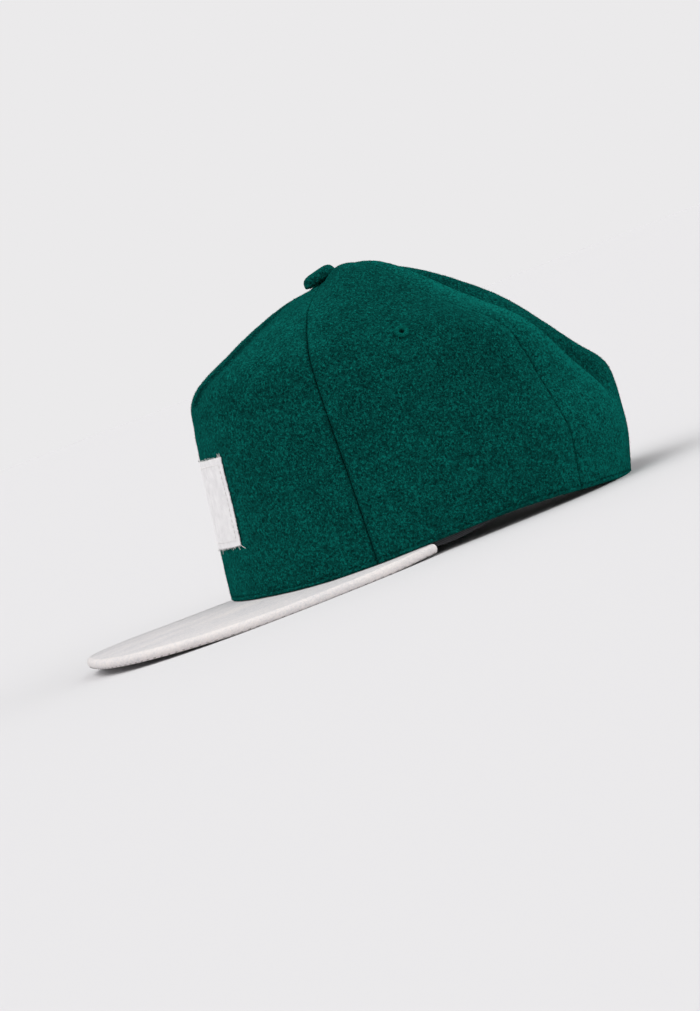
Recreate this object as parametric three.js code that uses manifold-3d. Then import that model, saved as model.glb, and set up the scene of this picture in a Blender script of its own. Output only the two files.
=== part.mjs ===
// A five-panel felt cap with a flat peak and a strap closure at the back.
// Millimetres and degrees, +Z up. The peak points along -Y and the wearer's left is +X.
// The cap is drawn level on its rim line, then tipped until peak and back rim share one surface.

import * as THREE from 'three';
import { mergeVertices } from 'three/addons/utils/BufferGeometryUtils.js';
import Module from 'manifold-3d';

const wasm = await Module();
wasm.setup();

// Crown
const crownHalfWidth = 82;
const crownHalfLength = 99;
const crownHeight = 131;
const apexForward = 13;
const frontSquareness = 2.1;
const backSquareness = 2.7;
const crownWall = 2.2;
const rimWave = 3.7;
const seamGap = 0.3;
const grooveDepth = 0.9;
const grooveWidth = 3.5;
const topHoleRadius = 2.4;

// Levels of the crown over which a groove fades in at its start and above the rim
const seamFade = 0.25;
const rimFade = 0.5;

// Gaps kept between pieces that touch: flat against flat, and inside the curved wall
const clearance = 0.3;
const liningGap = 0.85;

// Peak
const peakReach = 74;
const peakHalfWidth = 93;
const peakCentreBack = 33;
const peakRearLength = 103;
const peakFrontSquareness = 2.4;
const peakRearSquareness = 2.2;
const peakThickness = 4.8;
const peakSlope = 3.9;
const peakSideSlope = 5.4;
const peakCornerThickness = 3;
const peakThinFrom = 0.85;
const peakEndGap = 2.5;

// Button, with its foot and waist as shares of its radius and height
const buttonDiameter = 17;
const buttonHeight = 5;
const buttonFoot = 0.9;
const buttonWaist = 0.3;
const buttonFullness = 0.6;
const buttonTilt = 17.5;
const pressFade = 6;
const shankDiameter = 3;
const backingDiameter = 9;
const backingThickness = 1;

// Sweatband
const sweatbandHeight = 30;
const sweatbandThickness = 1.2;
const sweatbandSetUp = 1;
const sweatbandSag = 3;
const sweatbandSagAngle = 86;
const sweatbandSagSpread = 15.6;
const sweatbandStepLead = 9;
const sweatbandStepSpread = 6;

// Back opening and strap
const openingWidth = 75;
const openingHeight = 48;
const strapHeight = 18;
const strapThickness = 1.8;
const strapTuck = 10;
const strapSetUp = 2.5;
const studCount = 7;
const studSpacing = 8.5;
const studDiameter = 4;
const studTipDiameter = 3.2;
const studHeight = 1;

// Label
const labelWidth = 58;
const labelHeight = 42;
const labelBase = 24;
const labelThickness = 1;

// Eyelets
const eyeletAngle = 93;
const eyeletHeight = 96.5;
const eyeletRadius = 2.4;
const eyeletCord = 1.1;
const eyeletHole = 1.3;

// How far the soft rim and the peak's felt give way where they touch the surface
const rimGive = 1.2;
const peakGive = 0.4;

const deg = Math.PI / 180;

// Height of the rim line round the cap, as a share of rimWave
const rimLine = [
  { angle: 0, rise: -0.32 },
  { angle: 20, rise: -0.46 },
  { angle: 42, rise: -0.62 },
  { angle: 62, rise: -0.26 },
  { angle: 80, rise: 0.3 },
  { angle: 115, rise: 1 },
  { angle: 140, rise: 0.57 },
  { angle: 160, rise: 0.27 },
  { angle: 180, rise: 0.2 },
];

// Meridians from rim to apex. "In" is a share of the plan distance from the rim to the apex,
// "Up" is a share of crownHeight.
const sections = [
  {
    angle: 0, lowIn: 0.034, lowUp: 0.33, wallIn: 0.07, wallUp: 0.62,
    bendIn: 0.098, bendUp: 0.705, roofIn: 0.4, roofUp: 0.848, topIn: 0.74, topUp: 0.957,
  },
  {
    angle: 32, lowIn: 0.028, lowUp: 0.33, wallIn: 0.058, wallUp: 0.62,
    bendIn: 0.115, bendUp: 0.735, roofIn: 0.4, roofUp: 0.868, topIn: 0.74, topUp: 0.955,
  },
  {
    angle: 62, lowIn: 0.012, lowUp: 0.33, wallIn: 0.04, wallUp: 0.58,
    bendIn: 0.125, bendUp: 0.74, roofIn: 0.39, roofUp: 0.885, topIn: 0.75, topUp: 0.972,
  },
  {
    angle: 100, lowIn: -0.008, lowUp: 0.28, wallIn: 0.01, wallUp: 0.5,
    bendIn: 0.106, bendUp: 0.69, roofIn: 0.38, roofUp: 0.856, topIn: 0.81, topUp: 1.032,
  },
  {
    angle: 141, lowIn: -0.045, lowUp: 0.22, wallIn: 0.012, wallUp: 0.4,
    bendIn: 0.1, bendUp: 0.605, roofIn: 0.375, roofUp: 0.785, topIn: 0.865, topUp: 1.03,
  },
  {
    angle: 162, lowIn: -0.042, lowUp: 0.2, wallIn: -0.016, wallUp: 0.43,
    bendIn: 0.085, bendUp: 0.532, roofIn: 0.352, roofUp: 0.789, topIn: 0.862, topUp: 1.01,
  },
  {
    angle: 180, lowIn: -0.038, lowUp: 0.2, wallIn: -0.061, wallUp: 0.412,
    bendIn: 0, bendUp: 0.482, roofIn: 0.338, roofUp: 0.79, topIn: 0.864, topUp: 1.005,
  },
];
const stations = ['low', 'wall', 'bend', 'roof', 'top'];
const topLevel = stations.length + 1;

// Each seam runs from an angle at the rim to an angle at the top, between two levels
const frontSeam = { rim: 61.5, top: 55, startLevel: 0 };
const backSeam = { rim: 130, top: 128, startLevel: 0 };
const dartSeam = { rim: 0, top: 0, startLevel: 2.8 };
const centreBackSeam = { rim: 180, top: 180, startLevel: 0 };
const seams = [frontSeam, backSeam, dartSeam, centreBackSeam];

// Mesh density
const rowsPerStage = [2, 3, 3, 4, 4, 4];
const columnsPerPanel = 11;
const archSegments = 20;
const peakColumns = 44;
const peakTopRows = 6;
const peakEdgeRows = 6;
const buttonSides = 24;
const buttonDomeRows = 6;
const sweatbandColumns = 60;
const sweatbandHeights = [0, 0.12, 0.35, 0.65, 1];
const strapColumns = 24;
const strapHeights = [0, 0.1, 0.5, 0.9, 1];
const studSides = 12;
const labelColumns = 8;
const labelRows = 6;
const eyeletSides = 20;
const eyeletCordSides = 8;

const felt = { color: 0x064740, roughness: 0.95, metalness: 0 };
const colours = {
  felt,
  darkFelt: { color: 0x053f39, roughness: 0.95, metalness: 0 },
  peak: { color: 0xdad7d6, roughness: 0.9, metalness: 0 },
  sweatband: { color: 0x24292b, roughness: 0.85, metalness: 0 },
  strap: { color: 0x1d2322, roughness: 0.45, metalness: 0 },
  label: { color: 0xe2e0e1, roughness: 0.9, metalness: 0 },
};

function slopes(xs, ys) {
  const last = xs.length - 1;
  const chord = (i) => (ys[i + 1] - ys[i]) / (xs[i + 1] - xs[i]);
  return xs.map((x, i) => {
    if (i === 0) return chord(0);
    if (i === last) return chord(last - 1);
    const before = x - xs[i - 1];
    const after = xs[i + 1] - x;
    return (chord(i - 1) * after + chord(i) * before) / (before + after);
  });
}

function cubic(xs, ys, x, level = false) {
  const tangent = slopes(xs, ys);
  if (level) {
    tangent[0] = 0;
    tangent[xs.length - 1] = 0;
  }
  let i = 0;
  while (i < xs.length - 2 && x > xs[i + 1]) i += 1;
  const span = xs[i + 1] - xs[i];
  const t = (x - xs[i]) / span;
  const u = 1 - t;
  return ys[i] * (1 + 2 * t) * u * u + tangent[i] * span * t * u * u
    + ys[i + 1] * t * t * (3 - 2 * t) - tangent[i + 1] * span * t * t * u;
}

function bisect(low, high, isHigh) {
  for (let step = 0; step < 40; step += 1) {
    const middle = (low + high) / 2;
    if (isHigh(middle)) high = middle;
    else low = middle;
  }
  return (low + high) / 2;
}

const smooth = (t) => {
  const s = Math.min(1, Math.max(0, t));
  return s * s * (3 - 2 * s);
};
const mix = (a, b, t) => a + (b - a) * t;

function rimPoint(angle) {
  const s = Math.sin(angle * deg);
  const c = Math.cos(angle * deg);
  const power = mix(frontSquareness, backSquareness, smooth((1 - c) / 2));
  const reach = ((Math.abs(s) / crownHalfWidth) ** power
    + (Math.abs(c) / crownHalfLength) ** power) ** (-1 / power);
  return { x: reach * s, y: -reach * c };
}

const rimRise = (angle) => rimWave
  * cubic(rimLine.map((row) => row.angle), rimLine.map((row) => row.rise), Math.abs(angle), true);

const meridianCache = new Map();

// The meridian at one angle, as a function from level (0 at the rim, topLevel at the apex) to a point
function meridian(angle) {
  const side = Math.sign(angle) || 1;
  const turn = Math.abs(angle) > 180 ? 360 - Math.abs(angle) : Math.abs(angle);
  const key = side * turn;
  if (Math.abs(angle) > 180) return meridian(-side * turn);
  if (meridianCache.has(key)) return meridianCache.get(key);
  const angles = sections.map((row) => row.angle);
  const share = (name) => cubic(angles, sections.map((row) => row[name]), turn, true);
  const inward = [0, ...stations.map((name) => share(`${name}In`)), 1];
  const upward = [0, ...stations.map((name) => share(`${name}Up`)), 1];
  const rim = rimPoint(key);
  const span = Math.hypot(rim.x, rim.y + apexForward);
  const along = [0];
  for (let i = 1; i <= topLevel; i += 1) {
    const run = (inward[i] - inward[i - 1]) * span;
    const climb = (upward[i] - upward[i - 1]) * crownHeight;
    along.push(along[i - 1] + Math.hypot(run, climb));
  }
  const rise = rimRise(turn);
  const curve = (level) => {
    const i = Math.min(topLevel - 1, Math.floor(level));
    const distance = mix(along[i], along[i + 1], level - i);
    const inShare = cubic(along, inward, distance);
    const upShare = cubic(along, upward, distance);
    return new THREE.Vector3(
      rim.x * (1 - inShare),
      -apexForward + (rim.y + apexForward) * (1 - inShare),
      rise * (1 - upShare) + crownHeight * upShare,
    );
  };
  meridianCache.set(key, curve);
  return curve;
}

const apex = new THREE.Vector3(0, -apexForward, crownHeight);
const buttonAxis = new THREE.Vector3(0, -Math.sin(buttonTilt * deg), Math.cos(buttonTilt * deg));

const planRadius = (point) => Math.hypot(point.x, point.y + apexForward);

function outwardNormal(angle, level) {
  const angleStep = 0.5;
  const levelStep = 0.02;
  const low = Math.max(0, level - levelStep);
  const high = Math.min(topLevel, level + levelStep);
  const across = meridian(angle + angleStep)(level).sub(meridian(angle - angleStep)(level));
  const upward = meridian(angle)(high).sub(meridian(angle)(low));
  return across.cross(upward).normalize();
}

const seamAngle = (seam, level) => mix(seam.rim, seam.top, level / topLevel);

function grooveAt(angle, level) {
  const radius = planRadius(meridian(angle)(level));
  return seams.reduce((depth, seam) => {
    const away = (Math.abs(angle) - seamAngle(seam, level)) * deg * radius;
    const fade = seam.startLevel ? smooth((level - seam.startLevel) / seamFade) : 1;
    return depth + grooveDepth * fade * Math.exp(-((away / grooveWidth) ** 2));
  }, 0) * smooth(level / rimFade) * smooth((radius - topHoleRadius) / (buttonDiameter / 2));
}

// How far the button presses the crown flat, from 1 under it to 0 past its edge
const pressAt = (radius) => 1 - smooth((radius - buttonDiameter / 2) / pressFade);

// A point of the crown, set in from its outer face by a depth
function crownPoint(angle, level, depth = 0) {
  const point = meridian(angle)(level);
  const press = pressAt(planRadius(point));
  const normal = outwardNormal(angle, level).lerp(buttonAxis, press).normalize();
  const stand = point.clone().sub(apex).dot(buttonAxis);
  point.addScaledVector(buttonAxis, -stand * press);
  point.addScaledVector(normal, -depth - grooveAt(angle, level));
  if (level === 0) point.z = rimRise(angle);
  return point;
}

// The level at which a meridian reaches a height in its lower half
const levelAtHeight = (angle, height) => bisect(0, 3, (level) => meridian(angle)(level).z > height);

// Levels from the rim to the edge of the top hole, for a line whose angle changes with level
function panelLevels(angleAt) {
  const top = bisect(topLevel - 1, topLevel,
    (level) => planRadius(meridian(angleAt(level))(level)) < topHoleRadius);
  const levels = [];
  rowsPerStage.forEach((rows, stage) => {
    const end = stage === rowsPerStage.length - 1 ? top : stage + 1;
    for (let row = 0; row < rows; row += 1) levels.push(mix(stage, end, row / rows));
  });
  levels.push(top);
  return levels;
}

function geometryFrom(positions, triangles) {
  const geometry = new THREE.BufferGeometry();
  geometry.setAttribute('position', new THREE.Float32BufferAttribute(positions, 3));
  geometry.setIndex(signedVolume(positions, triangles) < 0
    ? triangles.map((value, i) => triangles[i - (i % 3) + (2 - (i % 3))])
    : triangles);
  return geometry;
}

function signedVolume(positions, triangles) {
  const corner = (i) => new THREE.Vector3().fromArray(positions, triangles[i] * 3);
  let volume = 0;
  for (let i = 0; i < triangles.length; i += 3) {
    volume += corner(i).dot(corner(i + 1).cross(corner(i + 2)));
  }
  return volume / 6;
}

// A closed body from a row of rings, each a closed loop of points, with flat ends
function loft(rings) {
  const size = rings[0].length;
  const positions = rings.flat().flatMap((point) => point.toArray());
  const triangles = [];
  for (let i = 0; i < rings.length - 1; i += 1) {
    for (let j = 0; j < size; j += 1) {
      const a = i * size + j;
      const b = i * size + ((j + 1) % size);
      triangles.push(a, b, b + size, a, b + size, a + size);
    }
  }
  [0, rings.length - 1].forEach((index) => {
    const half = size / 2;
    const at = (j) => index * size + ((j + size) % size);
    for (let j = 0; j < half - 1; j += 1) {
      const quad = [at(j), at(j + 1), at(size - 2 - j), at(size - 1 - j)];
      const faces = [quad[0], quad[2], quad[1], quad[0], quad[3], quad[2]];
      if (index) faces.reverse();
      triangles.push(...faces);
    }
  });
  return geometryFrom(positions, triangles);
}

// A wall between an outer and an inner sheet that share one grid
function wallBetween(columns, rows, outer, inner) {
  const rings = [];
  for (let i = 0; i < columns; i += 1) {
    const ring = [];
    for (let j = 0; j < rows; j += 1) ring.push(outer(i, j));
    for (let j = rows - 1; j >= 0; j -= 1) ring.push(inner(i, j));
    rings.push(ring);
  }
  return loft(rings);
}

function toSolid(geometry) {
  const bare = geometry.clone();
  bare.deleteAttribute('normal');
  bare.deleteAttribute('uv');
  const merged = mergeVertices(bare, 1e-5);
  return new wasm.Manifold(new wasm.Mesh({
    numProp: 3,
    vertProperties: new Float32Array(merged.attributes.position.array),
    triVerts: new Uint32Array(merged.index.array),
  }));
}

function fromSolid(solid) {
  const mesh = solid.getMesh();
  const geometry = new THREE.BufferGeometry();
  geometry.setAttribute('position', new THREE.BufferAttribute(mesh.vertProperties, 3));
  geometry.setIndex(new THREE.BufferAttribute(mesh.triVerts, 1));
  return geometry;
}

// Evenly eased places from 0 to 1, closer together near both ends
const eased = (count) => Array.from({ length: count + 1 },
  (_, i) => (1 - Math.cos(Math.PI * i / count)) / 2);

function crownPanel(startSeam, endSeam, places) {
  const trimmed = (seam, level, side) => {
    const angle = seam.side * seamAngle(seam.line, level);
    const radius = Math.max(topHoleRadius, planRadius(meridian(angle)(level)));
    return angle + side * seamGap / 2 / radius / deg;
  };
  const angleAt = (place, level) => mix(
    trimmed(startSeam, level, 1), trimmed(endSeam, level, -1), place);
  const levels = places.map((place) => panelLevels((level) => angleAt(place, level)));
  const at = (i, j, depth) => {
    const level = levels[i][j];
    return crownPoint(angleAt(places[i], level), level, depth);
  };
  return wallBetween(places.length, levels[0].length,
    (i, j) => at(i, j, 0), (i, j) => at(i, j, crownWall));
}

function frontPanel() {
  const half = eased(columnsPerPanel).map((place) => place / 2);
  const places = [...half, ...half.slice(1).map((place) => place + 0.5)];
  return crownPanel({ line: frontSeam, side: -1 }, { line: frontSeam, side: 1 }, places);
}

function sidePanel(side) {
  const near = { line: frontSeam, side };
  const far = { line: backSeam, side };
  const places = eased(columnsPerPanel);
  const panel = side > 0 ? crownPanel(near, far, places) : crownPanel(far, near, places);
  const { point, normal } = eyeletSeat(side);
  const drill = new THREE.CylinderGeometry(eyeletHole, eyeletHole, crownWall * 4, eyeletSides / 2);
  drill.applyQuaternion(turnTo(new THREE.Vector3(0, 1, 0), normal));
  drill.translate(point.x, point.y, point.z);
  return fromSolid(toSolid(panel).subtract(toSolid(drill)));
}

function backPanel(side) {
  const near = { line: backSeam, side };
  const far = { line: centreBackSeam, side };
  const places = eased(columnsPerPanel);
  const panel = side > 0 ? crownPanel(near, far, places) : crownPanel(far, near, places);
  const radius = openingWidth / 2;
  const straight = Math.max(0, openingHeight - radius);
  const arch = new THREE.Shape();
  arch.moveTo(-radius, -crownHalfLength);
  arch.lineTo(radius, -crownHalfLength);
  arch.lineTo(radius, straight);
  arch.absarc(0, straight, radius, 0, Math.PI, false);
  arch.closePath();
  const depth = crownHalfLength * 2;
  const cutter = new THREE.ExtrudeGeometry(arch,
    { depth, bevelEnabled: false, curveSegments: archSegments });
  cutter.rotateX(Math.PI / 2);
  cutter.translate(0, depth, 0);
  return fromSolid(toSolid(panel).subtract(toSolid(cutter)));
}

const turnTo = (from, to) => new THREE.Quaternion().setFromUnitVectors(from, to);

function rimInset(angle, inset) {
  const step = 0.5;
  const before = rimPoint(angle - step);
  const after = rimPoint(angle + step);
  const here = rimPoint(angle);
  const length = Math.hypot(after.x - before.x, after.y - before.y);
  const outward = { x: (after.y - before.y) / length, y: -(after.x - before.x) / length };
  return { x: here.x - outward.x * inset, y: here.y - outward.y * inset };
}

const peakCentre = -crownHalfLength + peakCentreBack;
const peakFrontLength = peakReach + peakCentreBack;

function peakEdge(turn, inset) {
  const s = Math.sin(turn);
  const c = Math.cos(turn);
  const power = mix(peakRearSquareness, peakFrontSquareness, smooth((1 + c) / 2));
  const length = (c > 0 ? peakFrontLength : peakRearLength) - inset;
  const width = peakHalfWidth - inset;
  const reach = ((Math.abs(s) / width) ** power + (Math.abs(c) / length) ** power) ** (-1 / power);
  return { x: reach * s, y: peakCentre - reach * c };
}

function peak() {
  const cornerAngle = bisect(30, 120, (angle) => {
    const point = rimPoint(angle);
    const turn = Math.atan2(point.x, peakCentre - point.y);
    const edge = peakEdge(turn, 0);
    return Math.hypot(edge.x, edge.y - peakCentre) - peakEndGap
      < Math.hypot(point.x, point.y - peakCentre);
  });
  const corner = rimPoint(cornerAngle);
  const cornerTurn = Math.atan2(corner.x, peakCentre - corner.y);
  const rings = [];
  for (let i = 0; i <= peakColumns; i += 1) {
    const across = Math.sin(mix(-1, 1, i / peakColumns) * Math.PI / 2);
    const thin = smooth((Math.abs(across) - peakThinFrom) / (1 - peakThinFrom));
    const thickness = mix(peakThickness, peakCornerThickness, thin);
    const inner = rimInset(cornerAngle * across, crownWall);
    const outer = peakEdge(cornerTurn * across, thickness / 2);
    const tip = peakEdge(cornerTurn * across, 0);
    const reach = Math.hypot(outer.x - inner.x, outer.y - inner.y);
    const slope = Math.tan(mix(peakSlope, peakSideSlope, across * across) * deg);
    const top = rimRise(cornerAngle * across) - clearance;
    const ring = [];
    const place = (share, below) => ring.push(new THREE.Vector3(
      mix(inner.x, outer.x, share),
      mix(inner.y, outer.y, share),
      top - reach * slope * share - below,
    ));
    for (let row = 0; row <= peakTopRows; row += 1) place(row / peakTopRows, 0);
    for (let row = 1; row < peakEdgeRows; row += 1) {
      const bend = Math.PI * row / peakEdgeRows;
      ring.push(new THREE.Vector3(
        mix(outer.x, tip.x, Math.sin(bend)),
        mix(outer.y, tip.y, Math.sin(bend)),
        top - reach * slope - thickness / 2 * (1 - Math.cos(bend)),
      ));
    }
    for (let row = peakTopRows; row >= 0; row -= 1) place(row / peakTopRows, thickness);
    if (ring.length % 2) ring.push(ring.at(-1).clone().lerp(ring[0], 0.5));
    rings.push(ring);
  }
  return loft(rings);
}

function button() {
  const seat = clearance;
  const inside = -crownWall - clearance;
  const radius = buttonDiameter / 2;
  const shank = shankDiameter / 2;
  const profile = [
    new THREE.Vector2(0, inside - backingThickness),
    new THREE.Vector2(backingDiameter / 2, inside - backingThickness),
    new THREE.Vector2(backingDiameter / 2, inside),
    new THREE.Vector2(shank, inside),
    new THREE.Vector2(shank, seat),
    new THREE.Vector2(radius * buttonFoot, seat),
  ];
  for (let row = 0; row < buttonDomeRows; row += 1) {
    const bend = Math.PI / 2 * row / buttonDomeRows;
    profile.push(new THREE.Vector2(
      radius * Math.cos(bend) ** buttonFullness,
      seat + buttonHeight * mix(buttonWaist, 1, Math.sin(bend)),
    ));
  }
  profile.push(new THREE.Vector2(0, seat + buttonHeight));
  const geometry = fromSolid(toSolid(new THREE.LatheGeometry(profile, buttonSides)));
  geometry.applyQuaternion(turnTo(new THREE.Vector3(0, 1, 0), buttonAxis));
  geometry.translate(apex.x, apex.y, apex.z);
  return geometry;
}

const openingAngle = bisect(120, 180, (angle) => rimPoint(angle).x < openingWidth / 2);
const strapEndAngle = bisect(120, 180, (angle) => rimPoint(angle).x < openingWidth / 2 + strapTuck);

// A point at a height above the rim line, set in from the crown's outer face
function bandPoint(angle, height, depth) {
  const rise = rimRise(angle);
  const turn = angle > 180 ? angle - 360 : angle;
  const level = levelAtHeight(turn, rise + Math.max(height, 0));
  const point = meridian(turn)(level);
  const normal = outwardNormal(turn, level);
  normal.z = 0;
  point.addScaledVector(normal.normalize(), -depth);
  point.z = rise + height;
  return point;
}

function sweatband() {
  const angleAt = (i) => mix(-openingAngle, openingAngle, i / sweatbandColumns);
  const base = (angle) => {
    const away = (Math.abs(angle) - sweatbandSagAngle) / sweatbandSagSpread;
    return sweatbandSetUp - (sweatbandSag + sweatbandSetUp) * Math.exp(-away * away);
  };
  // The band steps inward a few degrees before it reaches the strap's end
  const depthAt = (angle) => {
    const away = Math.abs(angle) - strapEndAngle + sweatbandStepLead;
    const behind = smooth(away / sweatbandStepSpread);
    return crownWall + liningGap + grooveDepth + behind * (strapThickness + clearance);
  };
  const at = (i, j, depth) => {
    const angle = angleAt(i);
    const height = mix(base(angle), sweatbandHeight, sweatbandHeights[j]);
    return bandPoint(angle, height, depthAt(angle) + depth);
  };
  return wallBetween(sweatbandColumns + 1, sweatbandHeights.length,
    (i, j) => at(i, j, 0), (i, j) => at(i, j, sweatbandThickness));
}

function snapStrap() {
  const angleAt = (place) => mix(strapEndAngle, 360 - strapEndAngle, place);
  const depth = crownWall + liningGap;
  const at = (place, share, inward) => bandPoint(
    angleAt(place), strapSetUp + strapHeight * share, depth + inward);
  const band = wallBetween(strapColumns + 1, strapHeights.length,
    (i, j) => at(i / strapColumns, strapHeights[j], 0),
    (i, j) => at(i / strapColumns, strapHeights[j], strapThickness));
  let solid = toSolid(band);
  const length = at(0, 0.5, 0).distanceTo(at(1, 0.5, 0));
  for (let i = 0; i < studCount; i += 1) {
    const place = 0.5 + (i - (studCount - 1) / 2) * studSpacing / length;
    const outside = at(place, 0.5, 0);
    const inside = at(place, 0.5, strapThickness);
    const direction = outside.clone().sub(inside).normalize();
    const stud = new THREE.CylinderGeometry(
      studTipDiameter / 2, studDiameter / 2, studHeight + strapThickness / 2, studSides);
    stud.translate(0, (studHeight - strapThickness / 2) / 2, 0);
    stud.applyQuaternion(turnTo(new THREE.Vector3(0, 1, 0), direction));
    stud.translate(outside.x, outside.y, outside.z);
    solid = solid.add(toSolid(stud));
  }
  return fromSolid(solid);
}

function frontLabel() {
  const at = (i, j, depth) => {
    const x = mix(-labelWidth / 2, labelWidth / 2, i / labelColumns);
    const z = labelBase + labelHeight * j / labelRows;
    const angle = bisect(-90, 90, (turn) => bandCrossing(turn, z).x > x);
    return crownPoint(angle, levelAtHeight(angle, z), depth);
  };
  return wallBetween(labelColumns + 1, labelRows + 1,
    (i, j) => at(i, j, -clearance - labelThickness), (i, j) => at(i, j, -clearance));
}

const bandCrossing = (angle, height) => meridian(angle)(levelAtHeight(angle, height));

function eyeletSeat(side) {
  const angle = side * eyeletAngle;
  const level = bisect(2, topLevel, (value) => meridian(angle)(value).z > eyeletHeight);
  return { point: crownPoint(angle, level), normal: outwardNormal(angle, level) };
}

function eyelet(side) {
  const { point, normal } = eyeletSeat(side);
  const ring = fromSolid(toSolid(
    new THREE.TorusGeometry(eyeletRadius, eyeletCord, eyeletCordSides, eyeletSides)));
  ring.applyQuaternion(turnTo(new THREE.Vector3(0, 0, 1), normal));
  const seat = point.addScaledVector(normal, eyeletCord + clearance);
  ring.translate(seat.x, seat.y, seat.z);
  return ring;
}

const pieces = [
  ['front_panel', frontPanel(), colours.felt],
  ['side_panel_left', sidePanel(1), colours.felt],
  ['side_panel_right', sidePanel(-1), colours.felt],
  ['back_panel_left', backPanel(1), colours.darkFelt],
  ['back_panel_right', backPanel(-1), colours.darkFelt],
  ['peak', peak(), colours.peak],
  ['button', button(), colours.felt],
  ['sweatband', sweatband(), colours.sweatband],
  ['snap_strap', snapStrap(), colours.strap],
  ['front_label', frontLabel(), colours.label],
  ['eyelet_left', eyelet(1), colours.felt],
  ['eyelet_right', eyelet(-1), colours.felt],
];

// Height of a point above a surface that is pitched under the cap, from the origin of the rim line
const heightAt = (y, z, pitch) => z * Math.cos(pitch) - y * Math.sin(pitch);

function lowest(turn, wanted) {
  let low = Infinity;
  pieces.filter(([name]) => wanted(name)).forEach(([, geometry]) => {
    const places = geometry.attributes.position;
    for (let i = 0; i < places.count; i += 1) {
      low = Math.min(low, heightAt(places.getY(i), places.getZ(i), turn));
    }
  });
  return low;
}

const surfaceUnderPeak = (turn) => lowest(turn, (name) => name === 'peak') + peakGive;
const surfaceUnderRim = (turn) => lowest(turn, (name) => name.startsWith('back_panel')) + rimGive;
const pitch = bisect(-15 * deg, 15 * deg, (turn) => surfaceUnderRim(turn) < surfaceUnderPeak(turn));
const surface = surfaceUnderPeak(pitch);

function flattenOnSurface(geometry) {
  const places = geometry.attributes.position;
  for (let i = 0; i < places.count; i += 1) {
    const short = surface - heightAt(places.getY(i), places.getZ(i), pitch);
    if (short > 0) {
      places.setY(i, places.getY(i) - short * Math.sin(pitch));
      places.setZ(i, places.getZ(i) + short * Math.cos(pitch));
    }
  }
}

const cap = new THREE.Group();
pieces.forEach(([name, geometry, colour]) => {
  flattenOnSurface(geometry);
  const mesh = new THREE.Mesh(geometry, new THREE.MeshStandardMaterial(colour));
  mesh.name = name;
  cap.add(mesh);
});
cap.rotation.x = -pitch;
cap.updateMatrixWorld(true);

// The origin lies on the surface, under the middle of the cap
const box = new THREE.Box3().setFromObject(cap, true);
cap.position.set(-(box.min.x + box.max.x) / 2, -(box.min.y + box.max.y) / 2, -box.min.z);

const part = new THREE.Group();
part.add(cap);
part.updateMatrixWorld(true);

export default part;
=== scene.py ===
"""The looks of a five-panel felt cap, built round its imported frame.

The cap's own frame is in millimetres and degrees, level on the rim, with the peak along -Y and the
wearer's left along +X. Angle 0 is the front and 180 the back. Level 0 is the rim and TOP_LEVEL the
top.
"""

import math
from collections import namedtuple

import bmesh
import bpy
import numpy as np
from mathutils import Matrix, Vector, noise


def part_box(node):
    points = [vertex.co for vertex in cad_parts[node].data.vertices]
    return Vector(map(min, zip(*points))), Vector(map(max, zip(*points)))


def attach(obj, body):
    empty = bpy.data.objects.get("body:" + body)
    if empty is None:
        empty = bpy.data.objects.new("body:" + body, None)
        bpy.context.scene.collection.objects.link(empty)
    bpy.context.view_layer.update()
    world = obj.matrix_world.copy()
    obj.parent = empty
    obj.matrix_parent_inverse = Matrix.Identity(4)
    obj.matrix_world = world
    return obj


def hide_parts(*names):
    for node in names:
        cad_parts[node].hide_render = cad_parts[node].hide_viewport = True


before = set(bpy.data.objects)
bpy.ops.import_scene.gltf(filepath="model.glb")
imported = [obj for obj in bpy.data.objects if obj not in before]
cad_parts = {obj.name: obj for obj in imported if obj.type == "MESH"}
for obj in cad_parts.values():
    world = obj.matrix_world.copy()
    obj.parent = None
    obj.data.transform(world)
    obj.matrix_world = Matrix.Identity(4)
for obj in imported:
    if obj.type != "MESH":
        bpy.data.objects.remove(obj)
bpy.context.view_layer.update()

MM = 0.001
SEED = 7

# Crown
HALF_WIDTH = 82.0
HALF_LENGTH = 99.0
CROWN_HEIGHT = 131.0
APEX_FORWARD = 13.0
FRONT_SQUARENESS = 2.1
BACK_SQUARENESS = 2.7
WALL = 2.2
RIM_WAVE = 3.7
GROOVE_DEPTH = 0.9
GROOVE_WIDTH = 3.5
SEAM_FADE = 0.25
RIM_FADE = 0.5
TOP_HOLE_RADIUS = 2.4
BUTTON_TILT = 17.5
PRESS_FADE = 6.0
TIP = 3.765

# Rim line: angle, rise as a share of RIM_WAVE
RIM_LINE = np.array([
    (0, -0.32),
    (20, -0.46),
    (42, -0.62),
    (62, -0.26),
    (80, 0.3),
    (115, 1.0),
    (140, 0.57),
    (160, 0.27),
    (180, 0.2),
])

# Meridians: shares of the way in from the rim to the apex and up CROWN_HEIGHT, at five stations
SECTIONS = np.array([
    # angle, low in, up, wall in, up, bend in, up, roof in, up, top in, up
    (0, 0.042, 0.33, 0.082, 0.62, 0.1, 0.705, 0.4, 0.848, 0.74, 0.957),
    (32, 0.033, 0.33, 0.066, 0.62, 0.117, 0.735, 0.4, 0.868, 0.74, 0.955),
    (62, 0.012, 0.33, 0.04, 0.58, 0.125, 0.74, 0.39, 0.885, 0.75, 0.972),
    (100, -0.008, 0.28, 0.01, 0.5, 0.106, 0.69, 0.38, 0.856, 0.81, 1.032),
    (141, -0.045, 0.22, 0.012, 0.4, 0.1, 0.605, 0.375, 0.785, 0.865, 1.03),
    (162, -0.042, 0.2, -0.016, 0.43, 0.085, 0.532, 0.352, 0.789, 0.862, 1.01),
    (180, -0.038, 0.2, -0.061, 0.412, 0.0, 0.482, 0.338, 0.79, 0.864, 1.005),
])
TOP_LEVEL = 6

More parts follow.
